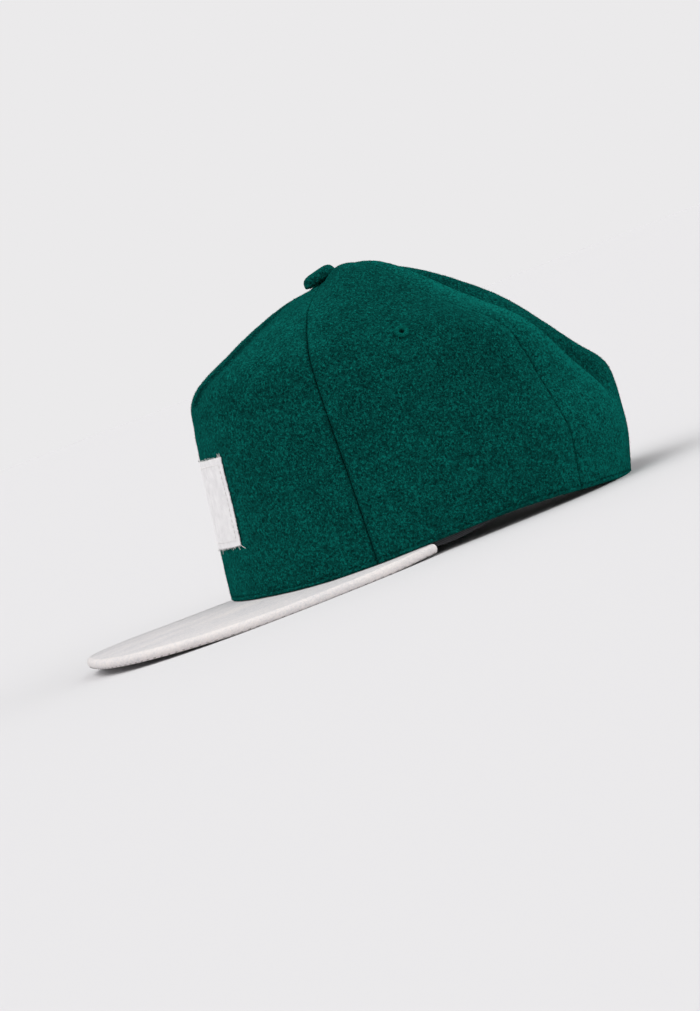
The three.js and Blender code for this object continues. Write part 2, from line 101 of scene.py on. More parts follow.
Seam = namedtuple("Seam", "rim top start_level gap")
FRONT_SEAM = Seam(61.5, 55, 0, 0.22)
BACK_SEAM = Seam(130, 128, 0, 0.14)
DART_SEAM = Seam(0, 0, 2.8, 0)
CENTRE_BACK_SEAM = Seam(180, 180, 0, 0.2)
SEAMS = (FRONT_SEAM, BACK_SEAM, DART_SEAM, CENTRE_BACK_SEAM)

# Sewn edges of the panels
EDGE_ROLL = 0.8
HEM_ROLL = 1.0
HEM_STITCH_HEIGHT = 2.1
HEM_STITCH_DEPTH = 0.25
HEM_STITCH_GROOVE = 0.45
DART_CREASE_DEPTH = 1.1
DART_CREASE_WIDTH = 0.9
DART_LOW_SIDE = 2.2
DART_END_LEVEL = 4.6
HEM_ROWS = np.array([
    0, 0.12, 0.3, 0.55, 0.85, 1.2, 1.5, 1.75, 1.95, 2.15, 2.35, 2.6, 2.95, 3.5, 4.2,
])
FAR_FROM_HEM = 99.0

# The soft fold behind each ridge of the crown: level, then the angle of the ridge
FOLD_LINE = np.array([
    (0.0, 160),
    (0.8, 156),
    (1.4, 150),
    (2.05, 144.5),
    (2.6, 140),
    (3.1, 137.3),
    (3.6, 138.3),
    (4.0, 141),
    (4.5, 140.5),
    (6.0, 137),
])
FOLD_FIRST_LEVEL = 1.0
FOLD_LAST_LEVEL = 4.1
FOLD_FADE = 0.9
FOLD_FULL_RADIUS = 70.0
FOLD_RIDGE_HEIGHT = 1.0
FOLD_RIDGE_WIDTH = 3.0
FOLD_VALLEY_DEPTH = 5.0
FOLD_VALLEY_NEAR = 7.0
FOLD_VALLEY_FAR = 12.0
FOLD_VALLEY_RISE = 15.0

# Soft dents and lumps in the felt
DENTS = [
    # angle, level, depth, radius across in millimetres
    (118.0, 2.2, 0.9, 20.0),
    (152.0, 1.3, -0.7, 16.0),
    (72.0, 1.2, 0.6, 16.0),
    (24.0, 0.55, 0.5, 12.0),
    (129.5, 2.62, 1.0, 2.2),
    (136.5, 2.14, 0.9, 2.0),
    (130.0, 1.46, 0.9, 2.0),
    (132.0, 1.1, 0.6, 2.0),
]
EYELET_DENT = 0.5
EYELET_DENT_RADIUS = 5.5
LUMPS = [
    # size, height
    (26.0, 0.3),
    (7.0, 0.16),
    (2.6, 0.07),
]

# Painted light and shade on the crown's felt: how much lighter each part is painted, or darker where
# negative
RIDGE_PAINTED_HIGHLIGHT = 1.7
SLOPE_PAINTED_LIGHT = 0.4
BACK_PAINTED_LIGHT = 0.9
ROOF_PAINTED_SHADE = -0.3
SEAM_PAINTED_SHADE = -1.2
DART_PAINTED_SHADE = -2.0
HEM_PAINTED_SHADE = -0.9

# Peak
PEAK_REACH = 74.0
PEAK_HALF_WIDTH = 93.0
PEAK_CENTRE_BACK = 33.0
PEAK_CENTRE = PEAK_CENTRE_BACK - HALF_LENGTH
PEAK_REAR_LENGTH = 103.0
PEAK_FRONT_SQUARENESS = 2.4
PEAK_REAR_SQUARENESS = 2.2
PEAK_THICKNESS = 4.8
PEAK_SLOPE = 3.9
PEAK_SIDE_SLOPE = 5.4
PEAK_CORNER_THICKNESS = 4.4
PEAK_THIN_FROM = 0.85
PEAK_END_GAP = 2.5
PEAK_TOP_ROWS = 44
PEAK_EDGE_ROWS = 18
CLEARANCE = 0.3
LINING_GAP = 0.85

# Button, eyelets, label, sweatband and strap
BUTTON_DIAMETER = 17.0
BUTTON_HEIGHT = 5.6
BUTTON_WAIST = 0.25
BUTTON_PLEATS = 11
BACKING_DIAMETER = 9.0
BACKING_THICKNESS = 1.0
SHANK_DIAMETER = 3.0
EYELET_ANGLE = 93.0
EYELET_HEIGHT = 96.5
EYELET_RADIUS = 2.4
EYELET_CORD = 1.1
EYELET_HOLE = 1.3
EYELET_LIFT = 0.35
EYELET_STITCHES = 44
LABEL_WIDTH = 58.0
LABEL_HEIGHT = 42.0
LABEL_BASE = 24.0
LABEL_THICKNESS = 0.4
LABEL_HEM = 3.0
LABEL_THREAD_PITCH = 0.62
BAND_HEIGHT = 30.0
BAND_THICKNESS = 1.2
BAND_DEPTH = WALL + LINING_GAP + GROOVE_DEPTH
BAND_SET_UP = 1.0
BAND_SAG = 3.0
BAND_SAG_ANGLE = 86.0
BAND_SAG_SPREAD = 15.6
BAND_STEP_LEAD = 9.0
BAND_STEP_SPREAD = 6.0
OPENING_WIDTH = 75.0
OPENING_HEIGHT = 48.0
STRAP_HEIGHT = 18.0
STRAP_THICKNESS = 1.8
STRAP_TUCK = 10.0
STRAP_SET_UP = 2.5
STRAP_DEPTH = WALL + LINING_GAP
STRAP_MIDDLE = STRAP_SET_UP + STRAP_HEIGHT / 2
TONGUE_THICKNESS = STRAP_THICKNESS / 2 - 0.05
TONGUE_GAP = 0.1
STUD_COUNT = 7
STUD_SPACING = 8.5
STUD_DIAMETER = 4.0
STUD_TIP_DIAMETER = 3.2
STUD_HEIGHT = 1.0
STUD_HOLE_RADIUS = 2.35

# Stitches
Stitch = namedtuple("Stitch", "length radius sink proud")
HEM_STITCH = Stitch(2.3, 0.22, 0.35, 0.2)
HEM_STITCH_PITCH = 3.0
PEAK_STITCH = Stitch(1.5, 0.26, 0.3, 0.14)
PEAK_STITCH_PITCH = 4.0
LABEL_STITCH = Stitch(2.0, 0.16, 0.3, 0.1)
LABEL_STITCH_PITCH = 2.6
BAND_STITCH = Stitch(2.0, 0.2, 0.3, 0.12)
BAND_STITCH_COUNT = 180

# Nap: how many fibres, their length, how far they lie down and their width
Nap = namedtuple("Nap", "count length lie width")
FRONT_NAP = Nap(31000, 1.5, 0.75, 0.1)
PANEL_NAP = Nap(15500, 1.5, 0.75, 0.1)
PEAK_NAP = Nap(14000, 0.9, 0.8, 0.06)
BUTTON_NAP = Nap(1500, 1.1, 0.75, 0.1)
NAP_ROOT = 0.25
NAP_LOWEST = 0.03

# Camera, in the cap's own frame
CAMERA_AZIMUTH = 79.0
CAMERA_ELEVATION = 1.2
CAMERA_ROLL = -17.178
CAMERA_DISTANCE = 1600.0
CAMERA_LENS = 119.5
LOOKED_AT = (0, -10, 50)
AIM_LEFT = 13.48
AIM_DOWN = 30.07

# Surroundings
FLOOR_RADIUS = 80.0
FLOOR_GREY = (212, 211, 212)
BACKDROP = (235, 234, 235)
OVERHEAD = (170, 170, 171)
LIGHTS = [
    # name, where it comes from, softness in degrees, strength
    ("key", (0.1, -0.5, 0.9), 60, 2.0),
    ("fill", (0.5, 0.8, 0.4), 80, 1.5),
]


# Interpolation

def mix(a, b, share):
    return a + (b - a) * share


def smooth(t):
    s = np.clip(t, 0, 1)
    return s * s * (3 - 2 * s)


def hump(away, width):
    return np.exp(-(away / width) ** 2)


def joined_slopes(xs, ys):
    """Slopes at the points of a cubic along the first axis, and the slope of each chord."""
    step = np.diff(xs, axis=0)
    chord = np.diff(ys, axis=0) / step
    inner = (chord[:-1] * step[1:] + chord[1:] * step[:-1]) / (step[:-1] + step[1:])
    return inner, chord


def hermite(y0, y1, m0, m1, span, t):
    u = 1 - t
    start = y0 * (1 + 2 * t) * u * u + m0 * span * t * u * u
    return start + y1 * t * t * (3 - 2 * t) - m1 * span * t * t * u


def from_table(table, x):
    """The columns of a table at each x, on cubics whose ends are level."""
    xs = table[:, 0]
    ys = table[:, 1:]
    inner, _ = joined_slopes(xs[:, None], ys)
    level = np.zeros((1, ys.shape[1]))
    slope = np.concatenate([level, inner, level])
    i = np.clip(np.searchsorted(xs, x) - 1, 0, len(xs) - 2)
    span = xs[i + 1] - xs[i]
    t = ((x - xs[i]) / span)[:, None]
    return hermite(ys[i], ys[i + 1], slope[i], slope[i + 1], span[:, None], t)


def curve(table, x):
    """The second column of a table, at places given in any shape."""
    return from_table(table, np.ravel(x))[:, 0].reshape(np.shape(x))


def on_chain(xs, ys, i, t):
    """The value at share t of stretch i, on one cubic through each column of points."""
    inner, chord = joined_slopes(xs, ys)
    slope = np.concatenate([chord[:1], inner, chord[-1:]])
    n = np.arange(xs.shape[1])
    span = xs[i + 1, n] - xs[i, n]
    return hermite(ys[i, n], ys[i + 1, n], slope[i, n], slope[i + 1, n], span, t)


def run_along(points):
    """How far along its line each point lies."""
    steps = np.linalg.norm(np.diff(points, axis=-2), axis=-1)
    return np.concatenate([np.zeros(steps.shape[:-1] + (1,)), np.cumsum(steps, axis=-1)], axis=-1)


def even_spots(run, pitch):
    """Distances along a run, evenly spaced at about a pitch."""
    count = int(run[-1] / pitch)
    return (np.arange(count) + 0.5) / count * run[-1]


def unit(vectors):
    return vectors / np.maximum(np.linalg.norm(vectors, axis=-1, keepdims=True), 1e-12)


# The crown's outer face

def rim_point(angle):
    s = np.sin(np.radians(angle))
    c = np.cos(np.radians(angle))
    power = mix(FRONT_SQUARENESS, BACK_SQUARENESS, smooth((1 - c) / 2))
    reach = ((abs(s) / HALF_WIDTH) ** power + (abs(c) / HALF_LENGTH) ** power) ** (-1 / power)
    return reach * s, -reach * c


def half_turn(angle):
    return (np.asarray(angle, float) + 180) % 360 - 180


def rim_rise(angle):
    return RIM_WAVE * curve(RIM_LINE, abs(half_turn(angle)))


def angle_at_half_width(x):
    angles = np.linspace(120, 180, 6001)
    return angles[np.argmax(rim_point(angles)[0] < x)]


OPENING_ANGLE = angle_at_half_width(OPENING_WIDTH / 2)
STRAP_END_ANGLE = angle_at_half_width(OPENING_WIDTH / 2 + STRAP_TUCK)


def crown_face(angle, level):
    """Points on the smooth outer face, before the seams are drawn in."""
    angle, level = np.broadcast_arrays(np.asarray(angle, float), np.asarray(level, float))
    shape = angle.shape
    turn = half_turn(angle).ravel()
    level = level.ravel()
    shares = from_table(SECTIONS, abs(turn)).T
    ends = np.zeros((1, len(turn)))
    inward = np.concatenate([ends, shares[0::2], ends + 1])
    upward = np.concatenate([ends, shares[1::2], ends + 1])
    x, y = rim_point(turn)
    span = np.hypot(x, y + APEX_FORWARD)
    chords = np.hypot(np.diff(inward, axis=0) * span, np.diff(upward, axis=0) * CROWN_HEIGHT)
    along = np.concatenate([ends, np.cumsum(chords, axis=0)])
    i = np.clip(np.floor(level).astype(int), 0, TOP_LEVEL - 1)
    come_in = on_chain(along, inward, i, level - i)
    come_up = on_chain(along, upward, i, level - i)
    points = np.stack([
        x * (1 - come_in),
        -APEX_FORWARD + (y + APEX_FORWARD) * (1 - come_in),
        rim_rise(turn) * (1 - come_up) + CROWN_HEIGHT * come_up,
    ], axis=-1)
    return points.reshape(shape + (3,))


def crown_normal(angle, level):
    across = crown_face(angle + 0.5, level) - crown_face(angle - 0.5, level)
    low = np.maximum(0, level - 0.02)
    high = np.minimum(TOP_LEVEL, level + 0.02)
    return unit(np.cross(across, crown_face(angle, high) - crown_face(angle, low)))


def level_normal(angle, level):
    """The outward direction of the crown's face, seen from above."""
    return unit(crown_normal(angle, level) * (1, 1, 0))


def plan_radius(points):
    return np.hypot(points[..., 0], points[..., 1] + APEX_FORWARD)


def seam_angle(seam, level):
    return mix(seam.rim, seam.top, level / TOP_LEVEL)


def seam_distance(seam, angle, level, radius):
    return abs((abs(half_turn(angle)) - seam_angle(seam, level)) * np.radians(1) * radius)


def seam_fade(seam, level):
    return smooth((level - seam.start_level) / SEAM_FADE) if seam.start_level else 1.0


def groove(angle, level, radius):
    depth = sum(
        GROOVE_DEPTH * seam_fade(seam, level)
        * hump(seam_distance(seam, angle, level, radius), GROOVE_WIDTH)
        for seam in SEAMS
    )
    return depth * smooth(level / RIM_FADE) * smooth((radius - TOP_HOLE_RADIUS) / (BUTTON_DIAMETER / 2))


APEX = np.array([0, -APEX_FORWARD, CROWN_HEIGHT])
BUTTON_AXIS = np.array([0, -math.sin(math.radians(BUTTON_TILT)), math.cos(math.radians(BUTTON_TILT))])


def crown_point(angle, level, depth=0.0):
    """Points set in from the outer face, with the seams' grooves and the button's flat seat."""
    angle, level = np.broadcast_arrays(np.asarray(angle, float), np.asarray(level, float))
    points = crown_face(angle, level)
    radius = plan_radius(points)
    press = (1 - smooth((radius - BUTTON_DIAMETER / 2) / PRESS_FADE))[..., None]
    normal = unit(mix(crown_normal(angle, level), BUTTON_AXIS, press))
    stand = ((points - APEX) @ BUTTON_AXIS)[..., None]
    points = points - BUTTON_AXIS * stand * press
    return points - normal * (np.asarray(depth) + groove(angle, level, radius))[..., None], normal


def level_at_height(angle, height):
    """The level at which each meridian reaches a height, in its lower half."""
    angle, height = np.broadcast_arrays(angle, height)
    levels = np.linspace(0, 3, 49)
    columns = crown_face(angle.ravel()[:, None], levels)[..., 2]
    found = [np.interp(h, column, levels) for h, column in zip(height.ravel(), columns)]
    return np.array(found).reshape(angle.shape)


def angle_at(x, height, first):
    """The angle at which the crown's face passes each place across and up, near a first angle."""
    angle = np.full_like(x, first)
    step = 0.5
    for _ in range(5):
        here = crown_face(angle, level_at_height(angle, height))[..., 0]
        ahead = crown_face(angle + step, level_at_height(angle + step, height))[..., 0]
        angle = angle + np.clip((x - here) * step / (ahead - here), -15, 15)
    return angle


def band_point(angle, height, depth):
    """Points at a height above the rim line, set in level from the crown's outer face."""
    angle = half_turn(angle)
    rise = rim_rise(angle)
    level = level_at_height(angle, rise + np.maximum(height, 0))
    points = crown_face(angle, level) - level_normal(angle, level) * np.asarray(depth)[..., None]
    points[..., 2] = rise + height
    return points


# From the cap's own frame to the row frame

def turned(points):
    s = math.sin(math.radians(TIP))
    c = math.cos(math.radians(TIP))
    x, y, z = np.moveaxis(np.asarray(points, float), -1, 0)
    return np.stack([x, y * c + z * s, z * c - y * s], axis=-1)


def eyelet_seat(side):
    levels = np.linspace(2, 4.5, 501)
    angle = side * EYELET_ANGLE
    level = np.interp(EYELET_HEIGHT, crown_face(angle, levels)[:, 2], levels)
    point, _ = crown_point(angle, level)
    return point, crown_normal(angle, level)


def frame_shift():
    """An eyelet's ring is centred in its box, so the box says where the cap's own frame lies."""
    point, normal = eyelet_seat(1)
    low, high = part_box("eyelet_left")
    centre = np.array((low + high) / 2) / MM
    return centre - turned(point + normal * (EYELET_CORD + CLEARANCE))


SHIFT = frame_shift()


def place(points):
    """Points in the row frame, in metres, with what would sink into the surface flattened on it."""
    made = turned(points) + SHIFT
    made[..., 2] = np.maximum(made[..., 2], 0)
    return made * MM


# Meshes

def quads_of(columns, rows, offset=0, wrap=False):
    """The faces of a grid whose points run down each column. A wrapped grid closes both ways."""
    i = np.arange(columns - 1 + wrap)[:, None]
    j = np.arange(rows - 1 + wrap)[None]
    next_i = (i + 1) % columns
    next_j = (j + 1) % rows
    corners = [(i, j), (next_i, j), (next_i, next_j), (i, next_j)]
    return np.stack([(a * rows + b).ravel() for a, b in corners], axis=-1) + offset


def mesh_object(name, points, polygons, material):
    mesh = bpy.data.meshes.new(name)
    corners = np.concatenate([faces.ravel() for faces in polygons]).astype(np.int32)
    sizes = np.concatenate([np.full(len(faces), faces.shape[1]) for faces in polygons])
    mesh.vertices.add(len(points))
    mesh.vertices.foreach_set("co", np.asarray(points, np.float32).ravel())
    mesh.loops.add(len(corners))
    mesh.loops.foreach_set("vertex_index", corners)
    mesh.polygons.add(len(sizes))
    starts = np.concatenate([[0], np.cumsum(sizes)[:-1]]).astype(np.int32)
    mesh.polygons.foreach_set("loop_start", starts)
    mesh.polygons.foreach_set("use_smooth", np.full(len(sizes), True))
    mesh.update(calc_edges=True)
    mesh.validate()
    mesh.materials.append(material)
    made = bpy.data.objects.new(name, mesh)
    bpy.context.scene.collection.objects.link(made)
    return made


def face_outward(obj):
    """Turns every face of a closed mesh outward."""
    work = bmesh.new()
    work.from_mesh(obj.data)
    bmesh.ops.recalc_face_normals(work, faces=work.faces)
    work.to_mesh(obj.data)
    work.free()


def add_tone(obj, tone):
    """Says how light the cloth is at each point: painted light and shade on the crown's panels, a
    lighter rolled edge on the peak.
    """
    layer = obj.data.attributes.new("tone", "FLOAT", "POINT")
    layer.data.foreach_set("value", tone.astype(np.float32))


def add_flat_map(obj, coordinates):
    """Keeps each point's place on the flat cloth, in millimetres, for the weave."""
    corners = np.zeros(len(obj.data.loops), np.int32)
    obj.data.loops.foreach_get("vertex_index", corners)
    layer = obj.data.uv_layers.new(name="flat")
    layer.data.foreach_set("uv", coordinates[corners].astype(np.float32).ravel())


def shell(name, outer, inner, material):
    """A closed wall between two grids of the same size."""
    columns, rows = outer.shape[:2]
    count = columns * rows
    index = np.arange(count).reshape(columns, rows)
    edge = np.concatenate([index[:-1, 0], index[-1, :-1], index[:0:-1, -1], index[0, :0:-1]])
    after = np.roll(edge, -1)
    faces = [
        quads_of(columns, rows),
        quads_of(columns, rows, count)[:, ::-1],
        np.stack([edge, after, after + count, edge + count], axis=-1),
    ]
    points = np.concatenate([outer.reshape(-1, 3), inner.reshape(-1, 3)])
    made = mesh_object(name, points, faces, material)
    face_outward(made)
    return made


def loft_arrays(rings):
    """Points and faces of a closed body through rings of points, its ends closed on their middles."""
    count, size = rings.shape[:2]
    points = np.concatenate([rings.reshape(-1, 3), rings[0].mean(0)[None], rings[-1].mean(0)[None]])
    i = np.arange(count - 1)[:, None] * size
    j = np.arange(size)[None]
    k = (j + 1) % size
    sides = np.stack([i + j, i + k, i + size + k, i + size + j], axis=-1).reshape(-1, 4)
    first = np.full(size, count * size)
    last = first + 1
    base = (count - 1) * size
    ends = np.concatenate([
        np.stack([first, k[0], j[0]], axis=-1),
        np.stack([last, base + j[0], base + k[0]], axis=-1),
    ])
    return points, sides, ends


class Bodies:
    """Many small closed bodies gathered into one mesh."""

    def __init__(self):
        self.points = []
        self.quads = []
        self.triangles = []
        self.count = 0

    def add(self, points, quads, triangles):
        self.points.append(points)
        self.quads.append(quads + self.count)
        self.triangles.append(triangles + self.count)
        self.count += len(points)

    def add_loft(self, rings):
        self.add(*loft_arrays(place(rings)))

    def object(self, name, material):
        faces = [np.concatenate(self.quads), np.concatenate(self.triangles)]
        made = mesh_object(name, np.concatenate(self.points), faces, material)
        face_outward(made)
        return made


def lofted(name, rings, material):
    bodies = Bodies()
    bodies.add_loft(rings)
    return bodies.object(name, material)


def tube_rings(path, radius, sides=6):
    """Rings round a path in the same units as its radius, which may change along it."""
    radius = np.broadcast_to(np.asarray(radius, float), (len(path),))
    tangent = unit(np.gradient(path, axis=0))
    side = np.cross(tangent[0], (0.31, 0.52, 0.79))
    turn = np.arange(sides) * 2 * math.pi / sides
    rings = []
    for point, direction, r in zip(path, tangent, radius):
        side = unit(side - direction * (side @ direction))
        other = np.cross(direction, side)
        rings.append(point + r * (np.cos(turn)[:, None] * side + np.sin(turn)[:, None] * other))
    return np.array(rings)


def stitches(name, material, stitch, middles, directions, normals):
    """Stitches bowed over the cloth, with both ends of each sunk in it."""
    share = np.linspace(-1, 1, 7)
    bow = np.sqrt(1 - share ** 2)
    rise = mix(-stitch.sink, stitch.proud, bow)[:, None]
    reach = (share * stitch.length / 2)[:, None]
    bodies = Bodies()
    for middle, direction, normal in zip(middles, directions, normals):
        path = middle + direction * reach + normal * rise
        bodies.add_loft(tube_rings(path, stitch.radius * mix(0.55, 1.0, bow)))
    return bodies.object(name, material)


def cut(obj, cutter):
    """Takes the cutter's shape out of a mesh and removes the cutter."""
    modifier = obj.modifiers.new("cut", "BOOLEAN")
    modifier.operation = "DIFFERENCE"
    modifier.solver = "EXACT"
    modifier.object = cutter
    evaluated = obj.evaluated_get(bpy.context.evaluated_depsgraph_get())
    made = bpy.data.meshes.new_from_object(evaluated)
    old = obj.data
    obj.modifiers.clear()
    obj.data = made
    bpy.data.meshes.remove(old)
    bpy.data.objects.remove(cutter)
    obj.data.polygons.foreach_set("use_smooth", np.full(len(obj.data.polygons), True))


def felt_noise(points, size, seed):
    """Smooth noise from -1 to 1, with lumps about size millimetres across."""
    offset = Vector((seed * 17.3, seed * 5.1, seed * 9.7))
    flat = points.reshape(-1, 3) / size
    values = [noise.noise(Vector(p) + offset) for p in flat.tolist()]
    return np.array(values).reshape(points.shape[:-1])


# Materials

def srgb(red, green, blue):
    """A colour given as it is seen on a screen, from 0 to 255, in the renderer's own numbers."""
    shares = [value / 255 for value in (red, green, blue)]
    linear = [s / 12.92 if s <= 0.04045 else ((s + 0.055) / 1.055) ** 2.4 for s in shares]
    return (*linear, 1.0)


class Look:
    """A material under construction."""

    def __init__(self, name, roughness, specular=0.2):
        self.material = bpy.data.materials.new(name)
        self.material.use_nodes = True
        self.tree = self.material.node_tree
        self.shader = self.tree.nodes["Principled BSDF"]
        self.shader.inputs["Roughness"].default_value = roughness
        self.shader.inputs["Specular IOR Level"].default_value = specular

    def node(self, kind, inputs=None, **settings):
        made = self.tree.nodes.new(kind)
        for key, value in settings.items():
            setattr(made, key, value)
        for key, value in (inputs or {}).items():
            self.feed(made.inputs[key], value)
        return made

    def feed(self, socket, value):
        if isinstance(value, bpy.types.NodeSocket):
            self.tree.links.new(value, socket)
        else:
            socket.default_value = value

    def places(self, scale=(1, 1, 1), rotation=(0, 0, 0)):
        """The object's own coordinates, in metres, stretched and turned."""
        source = self.node("ShaderNodeTexCoord").outputs["Object"]
        inputs = {"Vector": source, "Scale": scale, "Rotation": rotation}
        return self.node("ShaderNodeMapping", inputs).outputs["Vector"]

    def noise(self, size_mm, detail=3.0, roughness=0.55, distortion=0.0, where=None):
        inputs = {
            "Vector": where or self.places(),
            "Scale": 1000 / size_mm,
            "Detail": detail,
            "Roughness": roughness,
            "Distortion": distortion,
        }
        return self.node("ShaderNodeTexNoise", inputs).outputs["Fac"]

    def tone(self):
        return self.node("ShaderNodeAttribute", attribute_name="tone").outputs["Fac"]

    def flat(self):
        return self.node("ShaderNodeUVMap", uv_map="flat").outputs["UV"]

    def math(self, operation, a, b=0.0, c=0.0):
        return self.node("ShaderNodeMath", {0: a, 1: b, 2: c}, operation=operation).outputs[0]

    def blend(self, parts):
        """The weighted sum of several (value, weight) pairs."""
        total = 0.0
        for value, weight in parts:
            total = self.math("MULTIPLY_ADD", value, weight, total)
        return total

    def ramp(self, value, stops, brightness=1.0):
        """Colours the object by a value, from (position, screen colour) stops."""
        made = self.node("ShaderNodeValToRGB", {"Fac": value})
        elements = made.color_ramp.elements
        while len(elements) < len(stops):
            elements.new(0.5)
        for element, (position, colour) in zip(elements, stops):
            element.position = position
            element.color = tuple(c * brightness for c in srgb(*colour)[:3]) + (1.0,)
        self.feed(self.shader.inputs["Base Color"], made.outputs["Color"])

    def sheen(self, weight, roughness, tint):
        self.shader.inputs["Sheen Weight"].default_value = weight
        self.shader.inputs["Sheen Roughness"].default_value = roughness
        self.shader.inputs["Sheen Tint"].default_value = (*tint, 1.0)

    def bump(self, height, distance_mm, strength):
        inputs = {"Height": height, "Strength": strength, "Distance": distance_mm * MM}
        made = self.node("ShaderNodeBump", inputs)
        self.feed(self.shader.inputs["Normal"], made.outputs["Normal"])


def green_felt(name="green_felt", brightness=1.0):
    look = Look(name, 1.0, 0.0)
    fleck = look.noise(1.05, 2.0, 0.6, 1.0)
    curl = look.noise(1.8, 2.0, 0.6, 2.0)
    patch = look.noise(9.0, 2.0, 0.5, 0.4)
    broad = look.noise(45.0, 1.0)
    # The tone attribute mixes painted light and shade into the crown panels' colour
    parts = [(fleck, 0.6), (curl, 0.27), (patch, 0.09), (broad, 0.04), (look.tone(), 0.045)]
    look.ramp(look.blend(parts), [
        (0.38, (2, 32, 30)),
        (0.46, (4, 51, 47)),
        (0.53, (6, 68, 62)),
        (0.62, (9, 97, 88)),
    ], brightness)
    look.sheen(0.08, 0.5, (0.03, 0.75, 0.62))
    fine = look.noise(0.45, 2.0, 0.6, 0.8)
    look.bump(look.blend([(fleck, 0.5), (curl, 0.3), (fine, 0.2)]), 0.55, 0.8)
    return look.material


def pale_felt():
    look = Look("peak_felt", 0.92, 0.12)
    fibre = look.noise(0.8, 3.0, 0.6, 1.0)
    curl = look.noise(3.0, 3.0, 0.6, 1.5)
    streak = look.noise(26.0, 3.0, 0.55, 0.6, look.places((1.0, 0.22, 1.0), (0, 0, 0.2)))
    patch = look.noise(30.0, 2.0, 0.5, 0.4)
    parts = [(fibre, 0.36), (curl, 0.22), (streak, 0.3), (patch, 0.12), (look.tone(), 0.07)]
    look.ramp(look.blend(parts), [
        (0.36, (174, 173, 175)),
        (0.5, (200, 198, 200)),
        (0.64, (222, 216, 213)),
    ])
    look.sheen(0.12, 0.4, (1.0, 0.97, 0.95))
    fine = look.noise(0.4, 2.0)
    look.bump(look.blend([(fibre, 0.45), (curl, 0.25), (fine, 0.2), (streak, 0.6)]), 0.3, 0.6)
    return look.material


def plain_weave(look, pitch_mm):
    """Height of a plain weave of over and under threads, on the mesh's own flat coordinates."""
    parts = look.node("ShaderNodeSeparateXYZ", {0: look.flat()})
    turns = [look.math("MULTIPLY", parts.outputs[axis], math.pi / pitch_mm) for axis in "XY"]
    warp, weft = (look.math("ABSOLUTE", look.math("SINE", turn)) for turn in turns)
    across, along = (look.math("COSINE", turn) for turn in turns)
    threads = look.math("MULTIPLY", look.math("ADD", warp, weft), 0.5)
    return look.math("ADD", threads, look.math("MULTIPLY", look.math("MULTIPLY", across, along), 0.35))


def label_cloth():
    look = Look("label_cloth", 0.85)
    weave = plain_weave(look, 0.42)
    look.ramp(look.blend([(weave, 0.35), (look.noise(4.0), 0.55)]), [
        (0.25, (206, 204, 205)),
        (0.5, (226, 224, 225)),
        (0.75, (238, 236, 236)),
    ])
    look.bump(weave, 0.12, 0.7)
    return look.material


def thread(name, dark, light, specular=0.2):
    look = Look(name, 0.8, specular)
    look.ramp(look.noise(0.6, 2.0), [(0.35, dark), (0.65, light)])
    look.bump(look.noise(0.25, 2.0), 0.05, 0.6)
    return look.material


def band_cloth():
    look = Look("sweatband_cloth", 0.8, 0.25)
    inputs = {"Vector": look.flat(), "Scale": 0.55, "Distortion": 0.4, "Detail": 1.0}
    twill = look.node("ShaderNodeTexWave", inputs, bands_direction="DIAGONAL").outputs["Fac"]
    tone = look.blend([(twill, 0.5), (look.noise(2.0), 0.5)])
    look.ramp(tone, [(0.2, (34, 35, 37)), (0.8, (70, 71, 74))])
    look.sheen(0.08, 0.4, (0.8, 0.9, 0.9))
    look.bump(twill, 0.15, 0.6)
    return look.material


def strap_plastic():
    look = Look("strap_plastic", 0.42, 0.4)
    wear = look.noise(12.0)
    look.ramp(wear, [(0.3, (24, 28, 28)), (0.7, (34, 39, 39))])
    look.feed(look.shader.inputs["Roughness"], look.math("MULTIPLY_ADD", wear, 0.2, 0.34))
    look.bump(look.noise(0.35, 2.0), 0.04, 0.5)
    return look.material


def floor_paint():
    look = Look("floor", 0.9, 0.0)
    look.shader.inputs["Base Color"].default_value = srgb(*FLOOR_GREY)
    return look.material


GREEN = green_felt()
GREEN_NAP = green_felt("green_nap", 1.2)
GREEN_THREAD = thread("green_thread", (5, 66, 60), (9, 98, 88), 0.0)
PALE = pale_felt()
PALE_NAP = thread("pale_nap", (196, 193, 193), (222, 219, 218))
LABEL = label_cloth()
WHITE_THREAD = thread("white_thread", (214, 211, 210), (242, 240, 238))
GREY_THREAD = thread("grey_thread", (128, 123, 122), (176, 171, 170))
BLACK_THREAD = thread("black_thread", (20, 23, 24), (46, 52, 53))
BAND = band_cloth()
PLASTIC = strap_plastic()


# Fine nap on felt

def add_nap(name, grid, nap, material, seed):
    """Short tapering fibres that lean at random, rooted in felt that is given as a grid of points."""
    random = np.random.default_rng(SEED * 1000 + seed)
    corners = (grid[:-1, :-1], grid[1:, :-1], grid[1:, 1:], grid[:-1, 1:])
    a, b, c, d = (corner.reshape(-1, 3) for corner in corners)
    face_normal = np.cross(c - a, d - b)
    area = np.linalg.norm(face_normal, axis=1)
    count = nap.count
    chosen = random.choice(len(area), count, p=area / area.sum())
    u, v = random.random((2, count, 1))
    root = mix(mix(a[chosen], b[chosen], u), mix(d[chosen], c[chosen], u), v)
    normal = unit(face_normal[chosen])
    tangent = unit(np.cross(normal, random.normal(size=(count, 3))))
    other = np.cross(normal, tangent)
    rise = random.uniform(1 - nap.lie, 1, (count, 1)) ** 1.5
    direction = unit(tangent + normal * rise)
    length = nap.length * MM * random.uniform(0.45, 1.0, (count, 1)) ** 1.3
    width = nap.width * MM * random.uniform(0.7, 1.2, (count, 1))
    root = root - direction * NAP_ROOT * MM
    points = np.stack([
        root + other * width / 2,
        root - other * width / 2,
        root + normal * width * 0.8,
        root + direction * length,
    ], axis=1).reshape(-1, 3)
    points[:, 2] = np.maximum(points[:, 2], NAP_LOWEST * MM)
    start = np.arange(count)[:, None, None] * 4
    sides = np.array([(0, 1, 2), (0, 3, 1), (1, 3, 2), (2, 3, 0)])[None]
    return mesh_object(name, points, [(start + sides).reshape(-1, 3)], material)


# Crown panels

